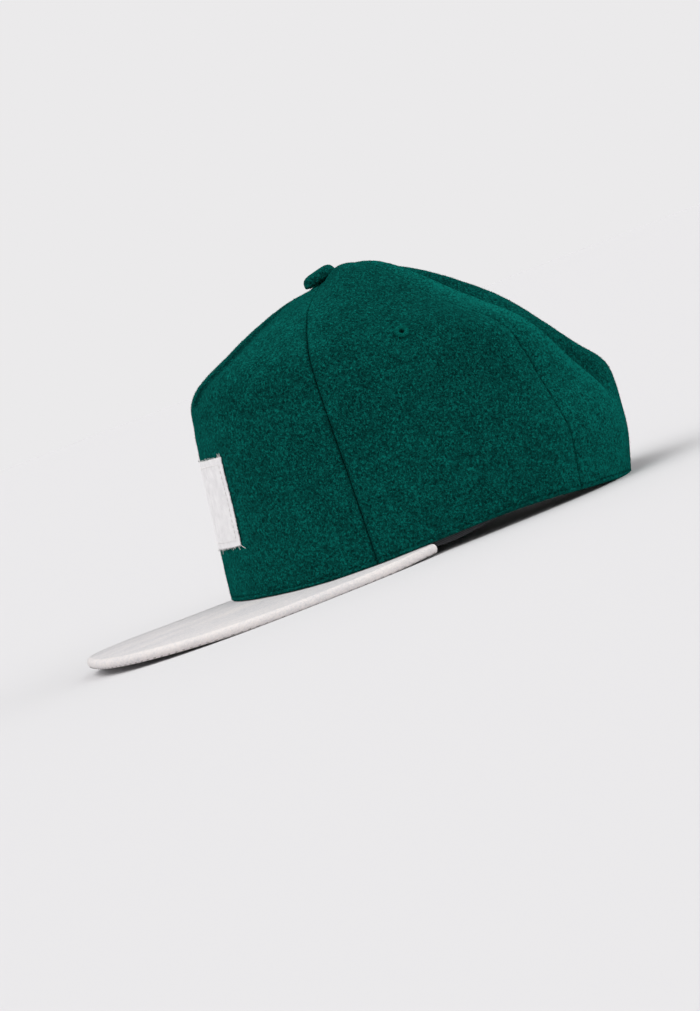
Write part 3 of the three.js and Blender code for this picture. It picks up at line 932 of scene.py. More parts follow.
def rolled(distance, radius):
    """How deep a rounded edge lies at a distance from it."""
    short = np.clip(radius - distance, 0, radius)
    return radius - np.sqrt(radius ** 2 - short ** 2)


def spaced(count, crowding):
    """Places from 0 to 1, crowded towards both ends."""
    even = np.linspace(0, 1, count)
    return mix(even, (1 - np.cos(np.pi * even)) / 2, crowding)


def trimmed(edge, level, side):
    seam, hand = edge
    angle = hand * seam_angle(seam, level)
    radius = np.maximum(TOP_HOLE_RADIUS, plan_radius(crown_face(angle, level)))
    return angle + side * np.degrees(seam.gap / 2 / radius)


def panel_rows(start, end, places, row_count):
    """The level of each row of each column, evenly spaced up the felt above the hem."""
    fine = np.linspace(0, TOP_LEVEL, 301)
    angle = mix(trimmed(start, fine, 1)[None], trimmed(end, fine, -1)[None], places[:, None])
    points = crown_face(angle, fine[None])
    levels = []
    for distance, reach in zip(run_along(points), plan_radius(points)):
        top = np.interp(TOP_HOLE_RADIUS, reach[::-1][:60], distance[::-1][:60])
        upper = np.linspace(HEM_ROWS[-1], top, row_count + 1)[1:]
        levels.append(np.interp(np.concatenate([HEM_ROWS, upper]), distance, fine))
    return np.array(levels)


def fold_distance(angle, level, radius):
    """How far behind the nearer ridge a place lies, in millimetres of the crown's full width."""
    away = abs(half_turn(angle)) - curve(FOLD_LINE, level)
    return away * np.radians(1) * np.maximum(radius, FOLD_FULL_RADIUS)


def fold_share(level):
    begun = smooth((level - FOLD_FIRST_LEVEL) / FOLD_FADE)
    return begun * (1 - smooth((level - FOLD_LAST_LEVEL) / FOLD_FADE))


def fold(angle, level, radius):
    """How deep the crown's wall is pressed in along the folds; a ridge stands out."""
    away = fold_distance(angle, level, radius)
    ridge = FOLD_RIDGE_HEIGHT * hump(away, FOLD_RIDGE_WIDTH)
    valley = FOLD_VALLEY_DEPTH * smooth(away / FOLD_VALLEY_NEAR)
    valley = valley * (1 - smooth((away - FOLD_VALLEY_FAR) / FOLD_VALLEY_RISE))
    return (valley - ridge) * fold_share(level)


def dart_share(level):
    return seam_fade(DART_SEAM, level) * (1 - smooth((level - DART_END_LEVEL) / 0.8))


def painted_light_and_shade(angle, level, radius, height):
    """Painted light and shade on the felt: a painted highlight along the ridge, painted light on the
    front's upper slope and the back, and painted shade on the roof and in its creases, the front seams,
    the dart and the hem stitches.
    """
    turn = abs(half_turn(angle))
    away = fold_distance(angle, level, radius)
    # ridge, slope and back are masks of painted light; roof, seam, dart and hem are masks of painted
    # shade
    ridge = hump(away + 1.5, 4.5) * fold_share(level)
    slope = smooth((level - 2.8) / 0.6) * (1 - smooth((turn - 52) / 16))
    back = smooth((turn - 118) / 14) * (1 - smooth(away / 5) * smooth((level - 1.2) / 0.6))
    from_seam = seam_distance(FRONT_SEAM, angle, level, radius)
    seam = hump(from_seam, 0.9) * (1 - smooth((level - 3.4) / 1.2))
    roof = smooth(from_seam / 5) * smooth((level - 1.6) / 0.8)
    dart = hump(seam_distance(DART_SEAM, angle, level, radius), 2.2) * dart_share(level)
    hem = hump(height - HEM_STITCH_HEIGHT, 0.35)
    # The painted light, and below it the painted shade added to it
    lighter = RIDGE_PAINTED_HIGHLIGHT * ridge + SLOPE_PAINTED_LIGHT * slope + BACK_PAINTED_LIGHT * back
    return lighter + ROOF_PAINTED_SHADE * roof + SEAM_PAINTED_SHADE * seam + DART_PAINTED_SHADE * dart + HEM_PAINTED_SHADE * hem


def felt_relief(points, seed):
    """How far soft dents and lumps push the felt in, in millimetres."""
    depth = sum(height * felt_noise(points, size, seed + k) for k, (size, height) in enumerate(LUMPS))
    dents = [(crown_face(angle, level), deep, size) for angle, level, deep, size in DENTS]
    dents += [(eyelet_seat(side)[0], EYELET_DENT, EYELET_DENT_RADIUS) for side in (1, -1)]
    for centre, deep, size in dents:
        depth = depth + deep * hump(np.linalg.norm(points - centre, axis=-1), size)
    return depth


def dart_crease(angle, level, radius):
    away = seam_distance(DART_SEAM, angle, level, radius)
    return DART_CREASE_DEPTH * hump(away, DART_CREASE_WIDTH) * seam_fade(DART_SEAM, level)


def dart_low_side(angle, level, radius):
    """How far the near side of the dart lies below the other."""
    beside = np.radians(half_turn(angle)) * radius
    return DART_LOW_SIDE * smooth(beside / 3) * (1 - smooth((beside - 8) / 16)) * dart_share(level)


def crown_panel(name, start, end, places, row_count, seed, dart=False):
    """One panel of the crown, its sewn edges rolled in and its hem rounded. Also gives its face."""
    level = panel_rows(start, end, places, row_count)
    first = trimmed(start, level, 1)
    last = trimmed(end, level, -1)
    angle = mix(first, last, places[:, None])
    plain = crown_face(angle, level)
    radius = plan_radius(plain)
    from_edge = np.minimum(angle - first, last - angle) * np.radians(1) * radius
    heights = np.concatenate([HEM_ROWS, np.full(row_count, FAR_FROM_HEM)])
    height = np.broadcast_to(heights, level.shape)
    near_top = smooth((radius - TOP_HOLE_RADIUS) / 8)
    edge = rolled(from_edge, EDGE_ROLL) * near_top
    hem = rolled(height, HEM_ROLL)
    outer_depth = np.maximum(hem, edge) + HEM_STITCH_GROOVE * hump(height - HEM_STITCH_HEIGHT, 0.4)
    pressed = felt_relief(plain, seed) * near_top * smooth(height / 6) + fold(angle, level, radius)
    if dart:
        outer_depth = outer_depth + dart_crease(angle, level, radius) * near_top
        pressed = pressed + dart_low_side(angle, level, radius) * near_top
    outer, _ = crown_point(angle, level, pressed + np.minimum(outer_depth, WALL - 0.3))
    inner, _ = crown_point(angle, level, pressed + WALL - hem)
    outer[:, 0, 2] = rim_rise(angle[:, 0])
    inner[:, 0, 2] = rim_rise(angle[:, 0])
    face = place(outer)
    made = shell(name, face, place(inner), GREEN)
    # The tone attribute carries the painted light and shade into the felt's colour
    add_tone(made, np.tile(painted_light_and_shade(angle, level, radius, height).ravel(), 2))
    return made, face


def hem_stitches():
    """A row of stitches round the crown, a little above its rim."""
    angles = np.linspace(-OPENING_ANGLE + 1, OPENING_ANGLE - 1, 600)
    run = run_along(band_point(angles, HEM_STITCH_HEIGHT, HEM_STITCH_DEPTH))
    spots = np.interp(even_spots(run, HEM_STITCH_PITCH), run, angles)
    middle = band_point(spots, HEM_STITCH_HEIGHT, HEM_STITCH_DEPTH)
    ahead = band_point(spots + 0.2, HEM_STITCH_HEIGHT, HEM_STITCH_DEPTH)
    normal = crown_normal(spots, 0.1)
    return stitches("hem_stitches_front", GREEN, HEM_STITCH, middle, unit(ahead - middle), normal)


def eyelet_cutter(side):
    point, normal = eyelet_seat(side)
    path = point + normal * np.linspace(-6, 6, 3)[:, None]
    return lofted("eyelet_cutter", tube_rings(path, EYELET_HOLE, 24), GREEN)


def arch_outline(margin=0.0, count=48):
    """The back opening seen from behind, as points from one foot over the top to the other."""
    radius = OPENING_WIDTH / 2 + margin
    straight = OPENING_HEIGHT - OPENING_WIDTH / 2
    turn = np.linspace(0, np.pi, count)
    x = np.concatenate([[radius], radius * np.cos(turn), [-radius]])
    z = np.concatenate([[-20.0], straight + radius * np.sin(turn), [-20.0]])
    return x, z


def arch_cutter():
    x, z = arch_outline()
    ends = [np.stack([x, np.full(len(x), y), z], axis=-1) for y in (20.0, 140.0)]
    bodies = Bodies()
    bodies.add(*loft_arrays((turned(ends) + SHIFT) * MM))
    return bodies.object("arch_cutter", GREEN)


def build_crown():
    half = spaced(78, 0.55) / 2
    front_places = np.concatenate([half, half[1:] + 0.5])
    front_edges = (FRONT_SEAM, -1), (FRONT_SEAM, 1)
    panels = {"front_panel": crown_panel("front_panel_felt", *front_edges, front_places, 150, 1, True)}
    for side, word in ((1, "left"), (-1, "right")):
        for kind, seams, columns, rows, seed in (
            ("side", (FRONT_SEAM, BACK_SEAM), 96, 140, 4),
            ("back", (BACK_SEAM, CENTRE_BACK_SEAM), 84, 132, 8),
        ):
            start, end = ((seam, side) for seam in seams[::side])
            node = f"{kind}_panel_{word}"
            panels[node] = crown_panel(f"{node}_felt", start, end, spaced(columns, 0.5), rows, seed)
        cut(panels[f"side_panel_{word}"][0], eyelet_cutter(side))
        cut(panels[f"back_panel_{word}"][0], arch_cutter())
    return panels


def build_arch_hem():
    """A narrow turned edge of felt that follows the opening in both back panels."""
    x, z = arch_outline(0.35, 90)
    keep = z > 1.2
    x = np.concatenate([np.full(12, x[0]), x[keep], np.full(12, x[-1])])
    rise = np.linspace(1.6, z[keep][0], 13)[:-1]
    z = np.concatenate([rise, z[keep], rise[::-1]])
    angle = angle_at(x, z, 180.0)
    middle, normal = crown_point(angle, level_at_height(angle, z), WALL / 2)
    middle = middle[:, None]
    normal = normal[:, None]
    across = np.cross(unit(np.gradient(middle, axis=0)), normal)
    turn = (np.arange(14) * 2 * np.pi / 14)[:, None]
    rings = middle + across * 1.9 * np.cos(turn) + normal * (WALL / 2 + 0.28) * np.sin(turn)
    rings = rings + normal * 0.1 * felt_noise(rings, 5.0, 61)[..., None]
    return lofted("back_opening_hem", rings, GREEN)


# Peak

def peak_edge(turn, inset):
    s = np.sin(turn)
    c = np.cos(turn)
    power = mix(PEAK_REAR_SQUARENESS, PEAK_FRONT_SQUARENESS, smooth((1 + c) / 2))
    length = np.where(c > 0, PEAK_REACH + PEAK_CENTRE_BACK, PEAK_REAR_LENGTH) - inset
    width = PEAK_HALF_WIDTH - inset
    reach = ((abs(s) / width) ** power + (abs(c) / length) ** power) ** (-1 / power)
    return np.stack([reach * s, PEAK_CENTRE - reach * c], axis=-1)


def rim_inset(angle, inset):
    before, here, after = (np.stack(rim_point(angle + step), axis=-1) for step in (-0.5, 0, 0.5))
    along = unit(after - before)
    return here - np.stack([along[..., 1], -along[..., 0]], axis=-1) * inset


def peak_corner():
    """The angle at which the peak's edge runs out under the rim."""
    angles = np.linspace(30, 120, 9001)
    x, y = rim_point(angles)
    edge = peak_edge(np.arctan2(x, PEAK_CENTRE - y), 0)
    gap = np.hypot(edge[:, 0], edge[:, 1] - PEAK_CENTRE) - PEAK_END_GAP - np.hypot(x, y - PEAK_CENTRE)
    return angles[np.argmax(gap < 0)]


def peak_ring(across, corner, corner_turn, top_share, bend):
    """One cross-section of the peak, from under the crown, round the edge and back below."""
    thin = smooth((abs(across) - PEAK_THIN_FROM) / (1 - PEAK_THIN_FROM))
    thickness = mix(PEAK_THICKNESS, PEAK_CORNER_THICKNESS, thin)
    inner = rim_inset(corner * across, WALL)
    outer = peak_edge(corner_turn * across, thickness / 2)
    tip = peak_edge(corner_turn * across, 0)
    slope = math.tan(math.radians(mix(PEAK_SLOPE, PEAK_SIDE_SLOPE, across ** 2)))
    drop = np.linalg.norm(outer - inner) * slope
    top = rim_rise(corner * across) - CLEARANCE
    over = np.column_stack([mix(inner, outer, top_share[:, None]), top - drop * top_share])
    around = np.column_stack([
        mix(outer, tip, np.sin(bend)[:, None]),
        top - drop - thickness / 2 * (1 - np.cos(bend)),
    ])
    return np.concatenate([over, around, over[::-1] - (0, 0, thickness)])


def build_peak():
    corner = peak_corner()
    x, y = rim_point(corner)
    corner_turn = math.atan2(x, PEAK_CENTRE - y)
    top_share = np.sin(np.linspace(0, 1, PEAK_TOP_ROWS) * np.pi / 2) ** 1.15
    bend = np.linspace(0, np.pi, PEAK_EDGE_ROWS)[1:-1]
    across = np.sin(np.linspace(-1, 1, 241) * np.pi / 2)
    rings = np.array([peak_ring(a, corner, corner_turn, top_share, bend) for a in across])
    lumps = 0.14 * felt_noise(rings, 18.0, 21) + 0.05 * felt_noise(rings, 3.5, 22)
    stand = rings[..., 2] - rings.mean(axis=1, keepdims=True)[..., 2]
    rings[..., 2] += np.where(stand > 0, 1.0, -1.0) * lumps * smooth(np.abs(stand))
    felt = lofted("peak_felt_cover", rings, PALE)
    last_top = PEAK_TOP_ROWS - 1
    last_edge = last_top + PEAK_EDGE_ROWS
    row = np.arange(rings.shape[1])
    edge_share = smooth((row - last_top + 1) / 2) * (1 - smooth((row - last_edge) / 3))
    add_tone(felt, np.concatenate([np.tile(edge_share, len(rings)), [0, 0]]))
    stitched = rings[:, last_top + int(0.8 * (PEAK_EDGE_ROWS - 1))]
    edge_middle = rings[:, last_top:last_edge - 1].mean(axis=1)
    return felt, place(rings[:, 3:last_edge - 4]), stitched, edge_middle


def peak_stitches(line, middles):
    """Dark stitches along the low side of the peak's rolled edge."""
    run = run_along(line)
    spots = even_spots(run, PEAK_STITCH_PITCH)
    at, inside = (
        np.stack([np.interp(spots, run, points[:, k]) for k in range(3)], axis=-1)
        for points in (line, middles)
    )
    direction = unit(np.gradient(at, axis=0))
    normal = at - inside
    normal = unit(normal - direction * (normal * direction).sum(axis=1, keepdims=True))
    return stitches("peak_edge_stitches", GREY_THREAD, PEAK_STITCH, at, direction, normal)


# Button

def button_profile():
    """The button from its inner disc along the shank to its covered dome, as (radius, height)."""
    radius = BUTTON_DIAMETER / 2
    inside = -WALL - CLEARANCE
    backing = BACKING_DIAMETER / 2
    profile = [
        (0.05, inside - BACKING_THICKNESS),
        (backing - 0.3, inside - BACKING_THICKNESS),
        (backing, inside - BACKING_THICKNESS / 2),
        (backing - 0.2, inside),
        (SHANK_DIAMETER / 2, inside),
        (SHANK_DIAMETER / 2, CLEARANCE),
        (radius * 0.82, CLEARANCE),
    ]
    for bend in np.linspace(-0.32, 0.5, 30) * math.pi:
        rise = BUTTON_WAIST * (1 + math.sin(bend))
        if bend > 0:
            rise = mix(BUTTON_WAIST, 1.0, math.sin(bend))
        out = max(radius * math.cos(bend) ** 0.42, 0.05)
        profile.append((out, CLEARANCE + BUTTON_HEIGHT * max(rise, 0.02)))
    return profile


def build_button():
    profile = button_profile()
    across = np.array([1.0, 0, 0])
    other = np.cross(BUTTON_AXIS, across)
    turn = np.arange(96) * 2 * np.pi / 96
    spoke = np.cos(turn)[:, None] * across + np.sin(turn)[:, None] * other
    rings = np.array([APEX + BUTTON_AXIS * h + spoke * r for r, h in profile])
    heights = np.array([h for _, h in profile])
    pleat = 0.1 * np.sin(turn * BUTTON_PLEATS + 0.6) * (1 - smooth((heights - 1.2) / 2.2))[:, None]
    lumps = 0.1 * felt_noise(rings, 4.0, 31)
    swell = (pleat + lumps) * (heights > CLEARANCE)[:, None]
    centre = APEX + BUTTON_AXIS * heights[:, None, None]
    rings = rings + unit(rings - centre) * swell[..., None]
    dome = place(rings[10:-1])
    return lofted("button_felt", rings, GREEN), np.concatenate([dome, dome[:, :1]], axis=1)


# Eyelets

def build_eyelet(side, name):
    """A ring of satin stitches round the small hole, over a cord."""
    point, normal = eyelet_seat(side)
    point = point + normal * EYELET_LIFT
    random = np.random.default_rng(SEED + 5)
    first = unit(np.cross(normal, (0, 0, 1.0)))
    second = np.cross(normal, first)
    bodies = Bodies()
    bend = np.linspace(-0.15, 1.15, 9)[:, None] * math.pi
    reach = EYELET_RADIUS + EYELET_CORD * 0.92 * -np.cos(bend)
    for k in range(EYELET_STITCHES):
        turn = (k + random.uniform(-0.15, 0.15)) * 2 * math.pi / EYELET_STITCHES
        spoke = first * math.cos(turn) + second * math.sin(turn)
        rise = -0.35 + (1.05 + random.uniform(-0.08, 0.08)) * np.sin(bend)
        path = point + spoke * reach + normal * rise
        bodies.add_loft(tube_rings(path, 0.2 + random.uniform(-0.02, 0.03)))
    turn = (np.arange(40) * 2 * math.pi / 40)[:, None, None]
    bend = (np.arange(10) * 2 * math.pi / 10)[:, None]
    spokes = first * np.cos(turn) + second * np.sin(turn)
    cord = point + spokes * (EYELET_RADIUS + EYELET_CORD * 0.75 * np.cos(bend))
    cord = place(cord + normal * (-0.3 + 0.75 * np.sin(bend)))
    bodies.add(cord.reshape(-1, 3), quads_of(40, 10, wrap=True), np.zeros((0, 3), int))
    return bodies.object(name, GREEN_THREAD)


# Label

def label_point(x, z, stand):
    """Points on the front panel at a distance across and a height, standing proud of the felt."""
    angle = angle_at(x, z, 0.0)
    points, normal = crown_point(angle, level_at_height(angle, z))
    return points + normal * np.asarray(stand)[..., None], normal


def build_label():
    random = np.random.default_rng(SEED + 11)
    columns = 117
    rows = 85
    u, v = np.meshgrid(np.linspace(-0.5, 0.5, columns), np.linspace(0, 1, rows), indexing="ij")
    x = u * LABEL_WIDTH
    z = LABEL_BASE + v * LABEL_HEIGHT
    x[[0, -1]] += random.uniform(-0.25, 0.25, (2, rows))
    z[:, [0, -1]] += random.uniform(-0.25, 0.25, (2, columns)).T
    flat = np.stack([x, z, np.zeros_like(x)], axis=-1)
    ripple = 0.12 * felt_noise(flat, 14.0, 41) + 0.05 * felt_noise(flat, 4.0, 42)
    curl = 0.2 * smooth((abs(u) - 0.46) / 0.04) + 0.2 * smooth((abs(v - 0.5) - 0.45) / 0.05)
    stand = CLEARANCE + ripple + curl * (0.4 + felt_noise(flat, 9.0, 43))
    outer, _ = label_point(x, z, stand + LABEL_THICKNESS)
    inner, _ = label_point(x, z, stand)
    made = shell("label_cloth_sheet", place(outer), place(inner), LABEL)
    add_flat_map(made, np.tile(flat[..., :2].reshape(-1, 2), (2, 1)))
    return made


def label_strands(random):
    """Short threads from each raw edge and a few long ones: place, direction, length and radius."""
    half = LABEL_WIDTH / 2
    top = LABEL_BASE + LABEL_HEIGHT
    strands = []
    for x in np.arange(-half + 0.5, half, LABEL_THREAD_PITCH):
        for z, way in ((LABEL_BASE, -1), (top, 1)):
            strands.append((x, z, random.normal(0, 0.35), way, random.uniform(0.4, 1.5), 0.07))
    for z in np.arange(LABEL_BASE + 0.5, top, LABEL_THREAD_PITCH):
        for x, way in ((-half, -1), (half, 1)):
            strands.append((x, z, way, random.normal(0, 0.35), random.uniform(0.3, 0.9), 0.07))
    return strands + [
        (half - 1.8, top, -0.1, 1.0, 2.2, 0.12),
        (half - 0.9, top, 0.1, 1.0, 1.8, 0.12),
        (half - 0.2, top - 0.4, 0.3, 1.0, 2.6, 0.12),
        (half - 0.4, LABEL_BASE + 0.4, 1.0, -0.75, 4.4, 0.13),
        (half - 2.4, LABEL_BASE, 0.5, -1.0, 2.6, 0.11),
        (half - 6.0, LABEL_BASE, -0.9, -0.8, 2.4, 0.1),
        (-half + 0.4, top, -0.3, 1.0, 3.4, 0.11),
        (-half + 0.3, LABEL_BASE, -0.9, -0.5, 3.6, 0.11),
        (6.0, LABEL_BASE, 0.4, -1.0, 2.8, 0.1),
        (-12.0, top, -0.5, 1.0, 2.6, 0.1),
    ]


def label_threads():
    """Threads that have worked loose from the label's raw edges."""
    random = np.random.default_rng(SEED + 13)
    strands = label_strands(random)
    share = np.linspace(0, 1, 6)
    paths = []
    for x, z, dx, dz, length, _ in strands:
        size = math.hypot(dx, dz)
        run = share * length - 0.3
        sway = random.normal(0, 0.22) * length * share ** 2
        lift = CLEARANCE + 0.3 + share * random.uniform(0.0, 0.5) * min(length, 1.5)
        paths.append(np.stack([
            x + (dx * run + dz * sway) / size,
            z + (dz * run - dx * sway) / size,
            lift,
        ]))
    points, _ = label_point(*np.stack(paths, axis=1))
    taper = np.array([1, 1, 1, 0.95, 0.85, 0.5])
    bodies = Bodies()
    for path, strand in zip(points, strands):
        bodies.add_loft(tube_rings(path, strand[5] * taper, 5))
    return bodies.object("label_loose_threads", WHITE_THREAD)


def label_stitches():
    half = LABEL_WIDTH / 2 - LABEL_HEM
    low = LABEL_BASE + LABEL_HEM
    high = LABEL_BASE + LABEL_HEIGHT - LABEL_HEM
    corners = np.array([(-half, low), (half, low), (half, high), (-half, high), (-half, low)])
    spots = []
    steps = []
    for start, end in zip(corners, corners[1:]):
        count = round(np.linalg.norm(end - start) / LABEL_STITCH_PITCH)
        shares = (np.arange(count) + 0.5) / count
        spots.append(mix(start, end, shares[:, None]))
        steps.append(np.tile((end - start) / count, (count, 1)))
    spots = np.concatenate(spots)
    near = spots + np.concatenate(steps) * 0.1
    stand = CLEARANCE + 0.15 + LABEL_THICKNESS
    middle, normal = label_point(spots[:, 0], spots[:, 1], stand)
    ahead, _ = label_point(near[:, 0], near[:, 1], stand)
    return stitches("label_stitches", WHITE_THREAD, LABEL_STITCH, middle, unit(ahead - middle), normal)


# Sweatband and strap

def rounded_section(low, high, near, far, radius, steps, rows):
    """A closed section with rounded corners, as (height, depth) pairs."""
    pairs = []
    corners = [(low, near, -180), (high, near, -270), (high, far, 0), (low, far, -90)]
    for index, (height, depth, start) in enumerate(corners):
        up = 1 if height == low else -1
        inward = 1 if depth == near else -1
        for turn in np.radians(start) - np.linspace(0, np.pi / 2, steps + 1):
            pairs.append((
                height + up * radius + radius * np.cos(turn),
                depth + inward * radius - radius * np.sin(turn),
            ))
        if index in (0, 2):
            end = high - radius if index == 0 else low + radius
            begin = pairs[-1][0]
            pairs += [(mix(begin, end, k / rows), depth) for k in range(1, rows)]
    return np.array(pairs)


def band_line(angle):
    """The height of the sweatband's lower edge and how deep the band lies, at each angle."""
    sag = hump(abs(angle) - BAND_SAG_ANGLE, BAND_SAG_SPREAD)
    step = smooth((abs(angle) - STRAP_END_ANGLE + BAND_STEP_LEAD) / BAND_STEP_SPREAD)
    height = BAND_SET_UP - (BAND_SAG + BAND_SET_UP) * sag
    return height, BAND_DEPTH + step * (STRAP_THICKNESS + CLEARANCE)


def build_sweatband():
    columns = 260
    angle = np.linspace(-OPENING_ANGLE, OPENING_ANGLE, columns)
    base, depth = band_line(angle)
    sections = [rounded_section(low, BAND_HEIGHT, 0, BAND_THICKNESS, 0.5, 3, 10) for low in base]
    heights, depths = np.moveaxis(np.array(sections), -1, 0)
    angles = np.repeat(angle[:, None], heights.shape[1], axis=1)
    points = band_point(angles, heights, depths + depth[:, None])
    wave = 0.2 * felt_noise(points, 22.0, 51)
    centre = points * (0, 0, 1) + np.array([0, -APEX_FORWARD, 0])
    points = points - unit(points - centre) * (wave + 0.2)[..., None]
    made = lofted("sweatband_cloth_band", points, BAND)
    run = run_along(points[:, 8])
    flat = np.stack([np.broadcast_to(run[:, None], heights.shape), heights], axis=-1).reshape(-1, 2)
    add_flat_map(made, np.concatenate([flat, flat[:1], flat[-1:]]))
    tall = BAND_HEIGHT - base
    area = float(((tall[1:] + tall[:-1]) / 2 * np.diff(run)).sum())
    return made, run[-1], BAND_HEIGHT - base.min(), area


def band_stitches():
    """Rows of stitches near both edges of the band, which join it to the crown."""
    angle = np.linspace(-OPENING_ANGLE + 2, OPENING_ANGLE - 2, BAND_STITCH_COUNT)
    base, depth = band_line(angle)
    heights = (base + 2.2, np.full_like(base, BAND_HEIGHT - 2.5))
    rows = [band_point(angle, height, depth + BAND_THICKNESS + 0.2) for height in heights]
    directions = np.concatenate([unit(np.gradient(row, axis=0)) for row in rows])
    normals = np.tile(-level_normal(angle, 0.3), (2, 1))
    return stitches(
        "sweatband_stitches", BLACK_THREAD, BAND_STITCH, np.concatenate(rows), directions, normals)


def strap_tongue(name, first, last, depth, free_end):
    """One plastic tongue of the strap between two angles, rounded at its free end."""
    angle = np.linspace(first, last, 150)
    run = run_along(band_point(angle, STRAP_MIDDLE, depth))
    nose = STRAP_HEIGHT / 2
    short = np.clip(nose - abs(run - run[free_end]), 0, nose)
    half = np.minimum(nose, np.sqrt(np.maximum(nose ** 2 - short ** 2, 0.5)))
    sections = np.array([
        rounded_section(STRAP_MIDDLE - h, STRAP_MIDDLE + h, 0, TONGUE_THICKNESS, min(0.3, h * 0.4), 3, 8)
        for h in half
    ])
    angles = np.repeat(angle[:, None], sections.shape[1], axis=1)
    return lofted(name, band_point(angles, sections[..., 0], sections[..., 1] + depth), PLASTIC)


def build_strap():
    angles = np.linspace(STRAP_END_ANGLE, 360 - STRAP_END_ANGLE, 400)
    run = run_along(band_point(angles, STRAP_MIDDLE, STRAP_DEPTH))
    spots = run[-1] / 2 + (np.arange(STUD_COUNT) - (STUD_COUNT - 1) / 2) * STUD_SPACING
    reach = STRAP_HEIGHT / 2 + 1.5
    noses = np.interp([spots[-1] + reach, spots[0] - reach], run, angles)
    outer = strap_tongue("strap_outer_tongue", angles[0], noses[0], STRAP_DEPTH, -1)
    inner_depth = STRAP_DEPTH + TONGUE_THICKNESS + TONGUE_GAP
    inner = strap_tongue("strap_inner_tongue", noses[1], angles[-1], inner_depth, 0)
    stud_angles = np.interp(spots, run, angles)
    middle = band_point(stud_angles, STRAP_MIDDLE, STRAP_DEPTH)
    through = np.array([1.5, 0, -TONGUE_THICKNESS - 0.05])[:, None]
    stud_profile = np.array([
        # height, diameter
        (-TONGUE_THICKNESS - 0.2, STUD_DIAMETER),
        (0.1, STUD_DIAMETER),
        (0.65 * STUD_HEIGHT, STUD_DIAMETER),
        (0.9 * STUD_HEIGHT, STUD_TIP_DIAMETER),
        (STUD_HEIGHT, 0.5 * STUD_TIP_DIAMETER),
    ])
    rise = stud_profile[:, :1]
    radius = stud_profile[:, 1] / 2
    holes = Bodies()
    studs = Bodies()
    for m, n in zip(middle, level_normal(stud_angles, 0.5)):
        holes.add_loft(tube_rings(m + n * through, STUD_HOLE_RADIUS, 28))
        studs.add_loft(tube_rings(m + n * rise, radius, 28))
    cut(outer, holes.object("strap_holes", PLASTIC))
    return outer, inner, studs.object("strap_studs", PLASTIC)


# Staging

def add_camera():
    azimuth, elevation, roll = np.radians([CAMERA_AZIMUTH, CAMERA_ELEVATION, CAMERA_ROLL])
    back = np.array([
        math.sin(azimuth) * math.cos(elevation),
        -math.cos(azimuth) * math.cos(elevation),
        math.sin(elevation),
    ])
    level = np.array([math.cos(azimuth), math.sin(azimuth), 0])
    up = np.cross(back, level)
    right = level * math.cos(roll) + up * math.sin(roll)
    over = up * math.cos(roll) - level * math.sin(roll)
    position = np.array(LOOKED_AT, float) + back * CAMERA_DISTANCE
    view = unit(back * CAMERA_DISTANCE + right * AIM_LEFT + over * AIM_DOWN)
    right = unit(np.cross(over, view))
    axes = turned([right, np.cross(view, right), view])
    data = bpy.data.cameras.new("camera")
    data.lens = CAMERA_LENS
    data.sensor_width = 36
    data.clip_start = 0.05
    data.clip_end = 2 * FLOOR_RADIUS
    camera = bpy.data.objects.new("camera", data)
    spot = Matrix.Translation(Vector((turned(position) + SHIFT) * MM))
    camera.matrix_world = spot @ Matrix(axes.T.tolist()).to_4x4()
    bpy.context.scene.collection.objects.link(camera)
    bpy.context.scene.camera = camera


def add_light(name, towards, softness, strength):
    """A soft light that comes evenly from one direction."""
    data = bpy.data.lights.new(name, "SUN")
    data.angle = math.radians(softness)
    data.energy = strength
    light = bpy.data.objects.new(name, data)
    light.rotation_euler = (-Vector(towards)).to_track_quat("-Z", "Y").to_euler()
    bpy.context.scene.collection.objects.link(light)


def add_floor():
    """A pale floor so wide that it meets the equally pale surroundings at the horizon."""
    sides = 96
    turn = np.arange(sides) * 2 * np.pi / sides
    points = FLOOR_RADIUS * np.stack([np.cos(turn), np.sin(turn), np.zeros(sides)], axis=-1)
    mesh_object("floor", points, [np.arange(sides)[None]], floor_paint())


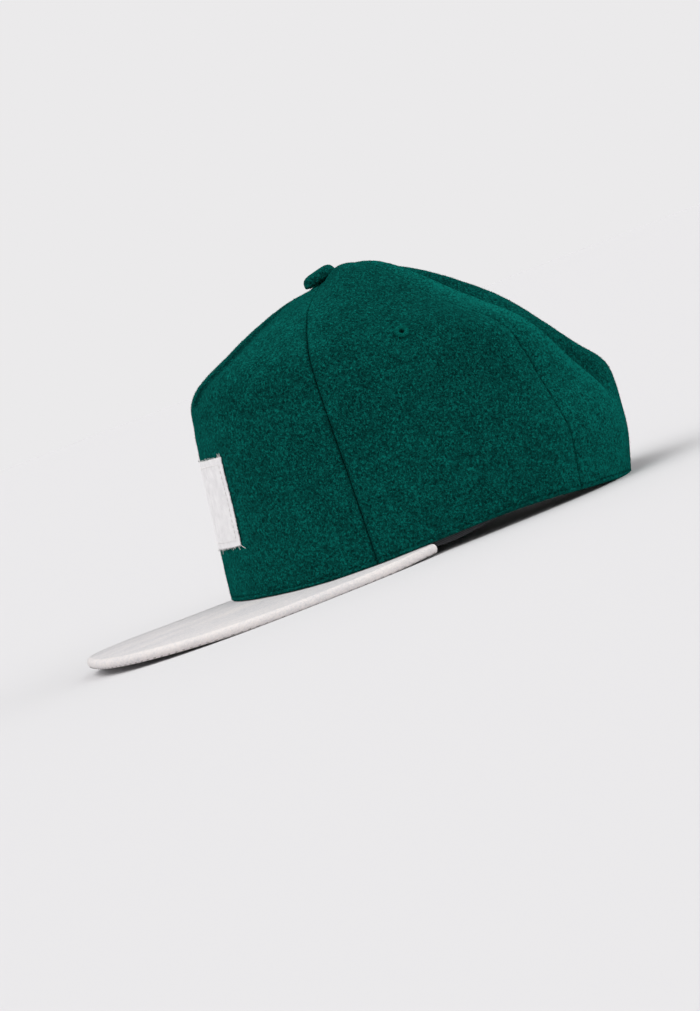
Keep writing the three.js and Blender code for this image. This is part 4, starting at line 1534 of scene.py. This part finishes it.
def light_scene():
    world = bpy.data.worlds.new("studio")
    world.use_nodes = True
    nodes = world.node_tree.nodes
    link = world.node_tree.links.new
    source = nodes.new("ShaderNodeTexCoord")
    parts = nodes.new("ShaderNodeSeparateXYZ")
    ramp = nodes.new("ShaderNodeValToRGB")
    link(source.outputs["Generated"], parts.inputs[0])
    link(parts.outputs["Z"], ramp.inputs["Fac"])
    stops = ((0.2, BACKDROP), (0.75, OVERHEAD))
    for element, (position, colour) in zip(ramp.color_ramp.elements, stops):
        element.position = position
        element.color = srgb(*colour)
    link(ramp.outputs["Color"], nodes["Background"].inputs["Color"])
    bpy.context.scene.world = world
    for light in LIGHTS:
        add_light(*light)
    bpy.context.scene.view_settings.view_transform = "Standard"


# Putting it together

def ride(obj, slot, *nodes):
    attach(obj, "root")
    if nodes:
        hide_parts(*nodes)
    return obj


add_camera()
for node, (panel, face) in build_crown().items():
    ride(panel, "green_felt", node)
    nap = FRONT_NAP if node == "front_panel" else PANEL_NAP
    ride(add_nap(f"{node}_nap", face, nap, GREEN_NAP, len(node)), "green_felt")
ride(hem_stitches(), "green_felt")
ride(build_arch_hem(), "green_felt")

peak_felt, peak_grid, stitch_line, edge_middle = build_peak()
ride(peak_felt, "peak_felt", "peak")
ride(peak_stitches(stitch_line, edge_middle), "peak_felt")
ride(add_nap("peak_nap", peak_grid, PEAK_NAP, PALE_NAP, 71), "peak_felt")

button, dome = build_button()
ride(button, "green_felt", "button")
ride(add_nap("button_nap", dome, BUTTON_NAP, GREEN_NAP, 72), "green_felt")

for hand, word in ((1, "left"), (-1, "right")):
    ride(build_eyelet(hand, f"eyelet_{word}_stitches"), "green_felt", f"eyelet_{word}")

label = ride(build_label(), "label", "front_label")
loose = ride(label_threads(), "label")
sewn = ride(label_stitches(), "label")

band, band_length, band_reach, band_area = build_sweatband()
ride(band, "sweatband", "sweatband")
band_thread = ride(band_stitches(), "sweatband")

outer_tongue, inner_tongue, studs = build_strap()
ride(outer_tongue, "strap", "snap_strap")
ride(inner_tongue, "strap")
ride(studs, "strap")

add_floor()
light_scene()
